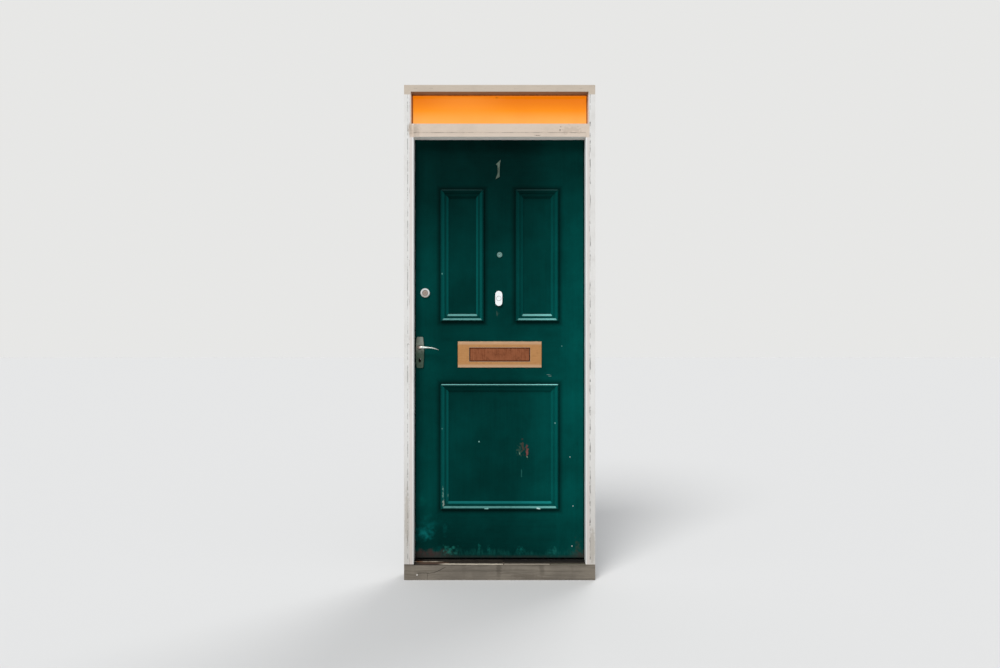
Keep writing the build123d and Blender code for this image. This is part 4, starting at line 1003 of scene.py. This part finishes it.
def screwPlaces():
    for label, height in hingeHeights.items():
        for number, (step, deep) in enumerate(hingeHoles):
            turn = 37 * (number + 1) + height * 50
            for body, x, way, more in (("frame", 0.4221, "left", 0), ("leaf", 0.4189, "right", 61)):
                name = "%sHingeScrew_%s_%d" % (body, label, number)
                yield name, (x, deep, height + step), way, turn + more, body, "screwSteel", "hinge_steel"
    for name, (x, y, upper), lower, way, turns, *rest in screwPairs:
        yield name + "_top", (x, y, upper), way, turns[0], *rest
        yield name + "_low", (x, y, lower), way, turns[1], *rest


looks = {"front": (90, 0, 0), "back": (-90, 0, 0), "left": (0, -90, 0), "right": (0, 90, 0)}


def setScrews():
    master = makeScrewHead()
    for name, at, way, turn, body, finish, slot in screwPlaces():
        head = copyPiece(master)
        head.rotation_euler = (0, 0, math.radians(turn))
        applyPlace()
        head.rotation_euler = [math.radians(angle) for angle in looks[way]]
        head.location = at
        finishPiece(head, name, metals[finish], body)
    bpy.data.objects.remove(master)


# raised collars: name, middle, radius, how thick and how high, body, finish and slot
collars = [
    ("outerLeverCollar", (-0.384, -0.0045, 1.104), 0.0112, 0.0017, 0.7, "leaf", "dullZinc", "dull_zinc"),
    ("innerLeverCollar", (-0.384, 0.0555, 1.104), 0.0112, 0.0017, 0.7, "leaf", "dullZinc", "dull_zinc"),
    ("knobCollar", (-0.359, 0.0745, 1.367), 0.018, 0.0013, 0.8, "leaf", "knobMetal", "latch_knob"),
]


def makeCollar(name, middle, radius, thick, high, body, finish, slot):
    startPiece(name)
    start = (middle[0] + radius, middle[1], middle[2])
    bpy.ops.mesh.primitive_circle_add(vertices=12, radius=thick, location=start)
    ring = bpy.context.object
    applyPlace()
    goTo("EDIT")
    selectAll()
    bpy.ops.transform.resize(value=(1, high, 1), center_override=middle)
    bpy.ops.mesh.spin(steps=48, angle=math.tau, center=middle, axis=(0, 1, 0))
    selectAll()
    bpy.ops.mesh.remove_doubles(threshold=0.00001)
    closeSkin()
    goTo("OBJECT")
    bpy.ops.object.shade_smooth()
    finishPiece(ring, name, metals[finish], body)


# the mortice lock's flat levers, which stand behind the keyhole
leverStack = {"middle": (-0.3868, 1.041), "size": 0.011, "wide": 0.009, "rise": 0.013, "thick": 0.0014,
              "edge": 0.0002, "depths": (0.0226, 0.0248, 0.027)}


def makeLeverStack():
    startPiece("lockLevers")
    plates = []
    x, z = leverStack["middle"]
    reach = leverStack["size"] / 2 - 0.0001
    for deep in leverStack["depths"]:
        bpy.ops.object.select_all(action="DESELECT")
        bpy.ops.mesh.primitive_plane_add(size=leverStack["size"], location=(x, deep, z),
                                         rotation=(math.radians(90), 0, 0))
        plate = bpy.context.object
        applyPlace()
        selectVertices(plate, lambda point: point.x > x + reach)
        extrude((leverStack["wide"], 0, 0))
        selectVertices(plate, lambda point: point.x > x + reach and point.z > z + reach)
        extrude((0, 0, leverStack["rise"]))
        selectAll()
        extrude((0, leverStack["thick"], 0))
        closeSkin()
        bpy.ops.mesh.bevel(offset=leverStack["edge"], segments=2, affect="EDGES")
        goTo("OBJECT")
        plates.append(plate)
    for plate in plates:
        plate.select_set(True)
    bpy.context.view_layer.objects.active = plates[0]
    bpy.ops.object.join()
    finishPiece(plates[0], "lockLevers", metals["lockSteel"], "leaf")


makeLever()
makeLeverStack()
for collar in collars:
    makeCollar(*collar)
setScrews()


# floor, background, lamps and camera

studio = {
    "floor": (206, 206, 205), "background": (0.8, 0.8, 0.79, 1.0), "dimSky": (0.44, 0.45, 0.47, 1.0),
    "floorSize": 60, "keyFrom": (-0.36, -0.76, 0.95), "keyStrength": 2.4, "keySpread": 28,
    "backFrom": (0.5, 0.8, 0.8), "backStrength": 1.3, "backSpread": 35,
    "camera": (0.0017, -3.2465, 1.169), "lens": 24.25, "sensor": 36,
}


def makeFloor():
    startPiece("floor")
    bpy.ops.mesh.primitive_plane_add(size=studio["floorSize"], location=(0, 0, 0))
    floor = bpy.context.object
    floor.name = "studioFloor"
    paint = Finish("studioFloorPaint", 0.9, Specular_IOR_Level=0.0, Base_Color=studio["floor"])
    floor.data.materials.append(paint.material)


def makeBackground():
    world = bpy.data.worlds.new("studioBackground")
    bpy.context.scene.world = world
    world.use_nodes = True
    tree = world.node_tree
    tree.nodes.clear()
    # the camera sees a plain background, and so do mirrors and glass; the rest gets a dimmer light
    path = addNode(tree, "LightPath").outputs
    kinds = ("Camera", "Glossy", "Transmission")
    camera, mirror, glass = [Signal(path["Is %s Ray" % kind]) for kind in kinds]
    seen = camera.math("ADD", mirror, clamp=True).math("ADD", glass, clamp=True)
    colour = mixColour(tree, seen, studio["dimSky"], studio["background"])
    sky = addNode(tree, "Background", {"Color": colour, "Strength": 1.0})
    leave = addNode(tree, "OutputWorld")
    tree.links.new(sky.outputs[0], leave.inputs["Surface"])


def makeLamp(name, comesFrom, strength, spread):
    lamp = bpy.data.lights.new(name, "SUN")
    lamp.energy = strength
    lamp.angle = math.radians(spread)
    holder = bpy.data.objects.new(name, lamp)
    bpy.context.collection.objects.link(holder)
    holder.rotation_euler = Vector(comesFrom).to_track_quat("Z", "Y").to_euler()
    holder.location = Vector(comesFrom) * 4


def makeCamera():
    camera = bpy.data.cameras.new("photoCamera")
    camera.lens = studio["lens"]
    camera.sensor_width = studio["sensor"]
    holder = bpy.data.objects.new("photoCamera", camera)
    bpy.context.collection.objects.link(holder)
    holder.location = studio["camera"]
    holder.rotation_euler = (math.radians(90), 0, 0)
    bpy.context.scene.camera = holder


makeFloor()
makeBackground()
makeLamp("keyLamp", studio["keyFrom"], studio["keyStrength"], studio["keySpread"])
makeLamp("backLamp", studio["backFrom"], studio["backStrength"], studio["backSpread"])
makeCamera()
bpy.context.scene.view_settings.view_transform = "Standard"
print("door: stage set")
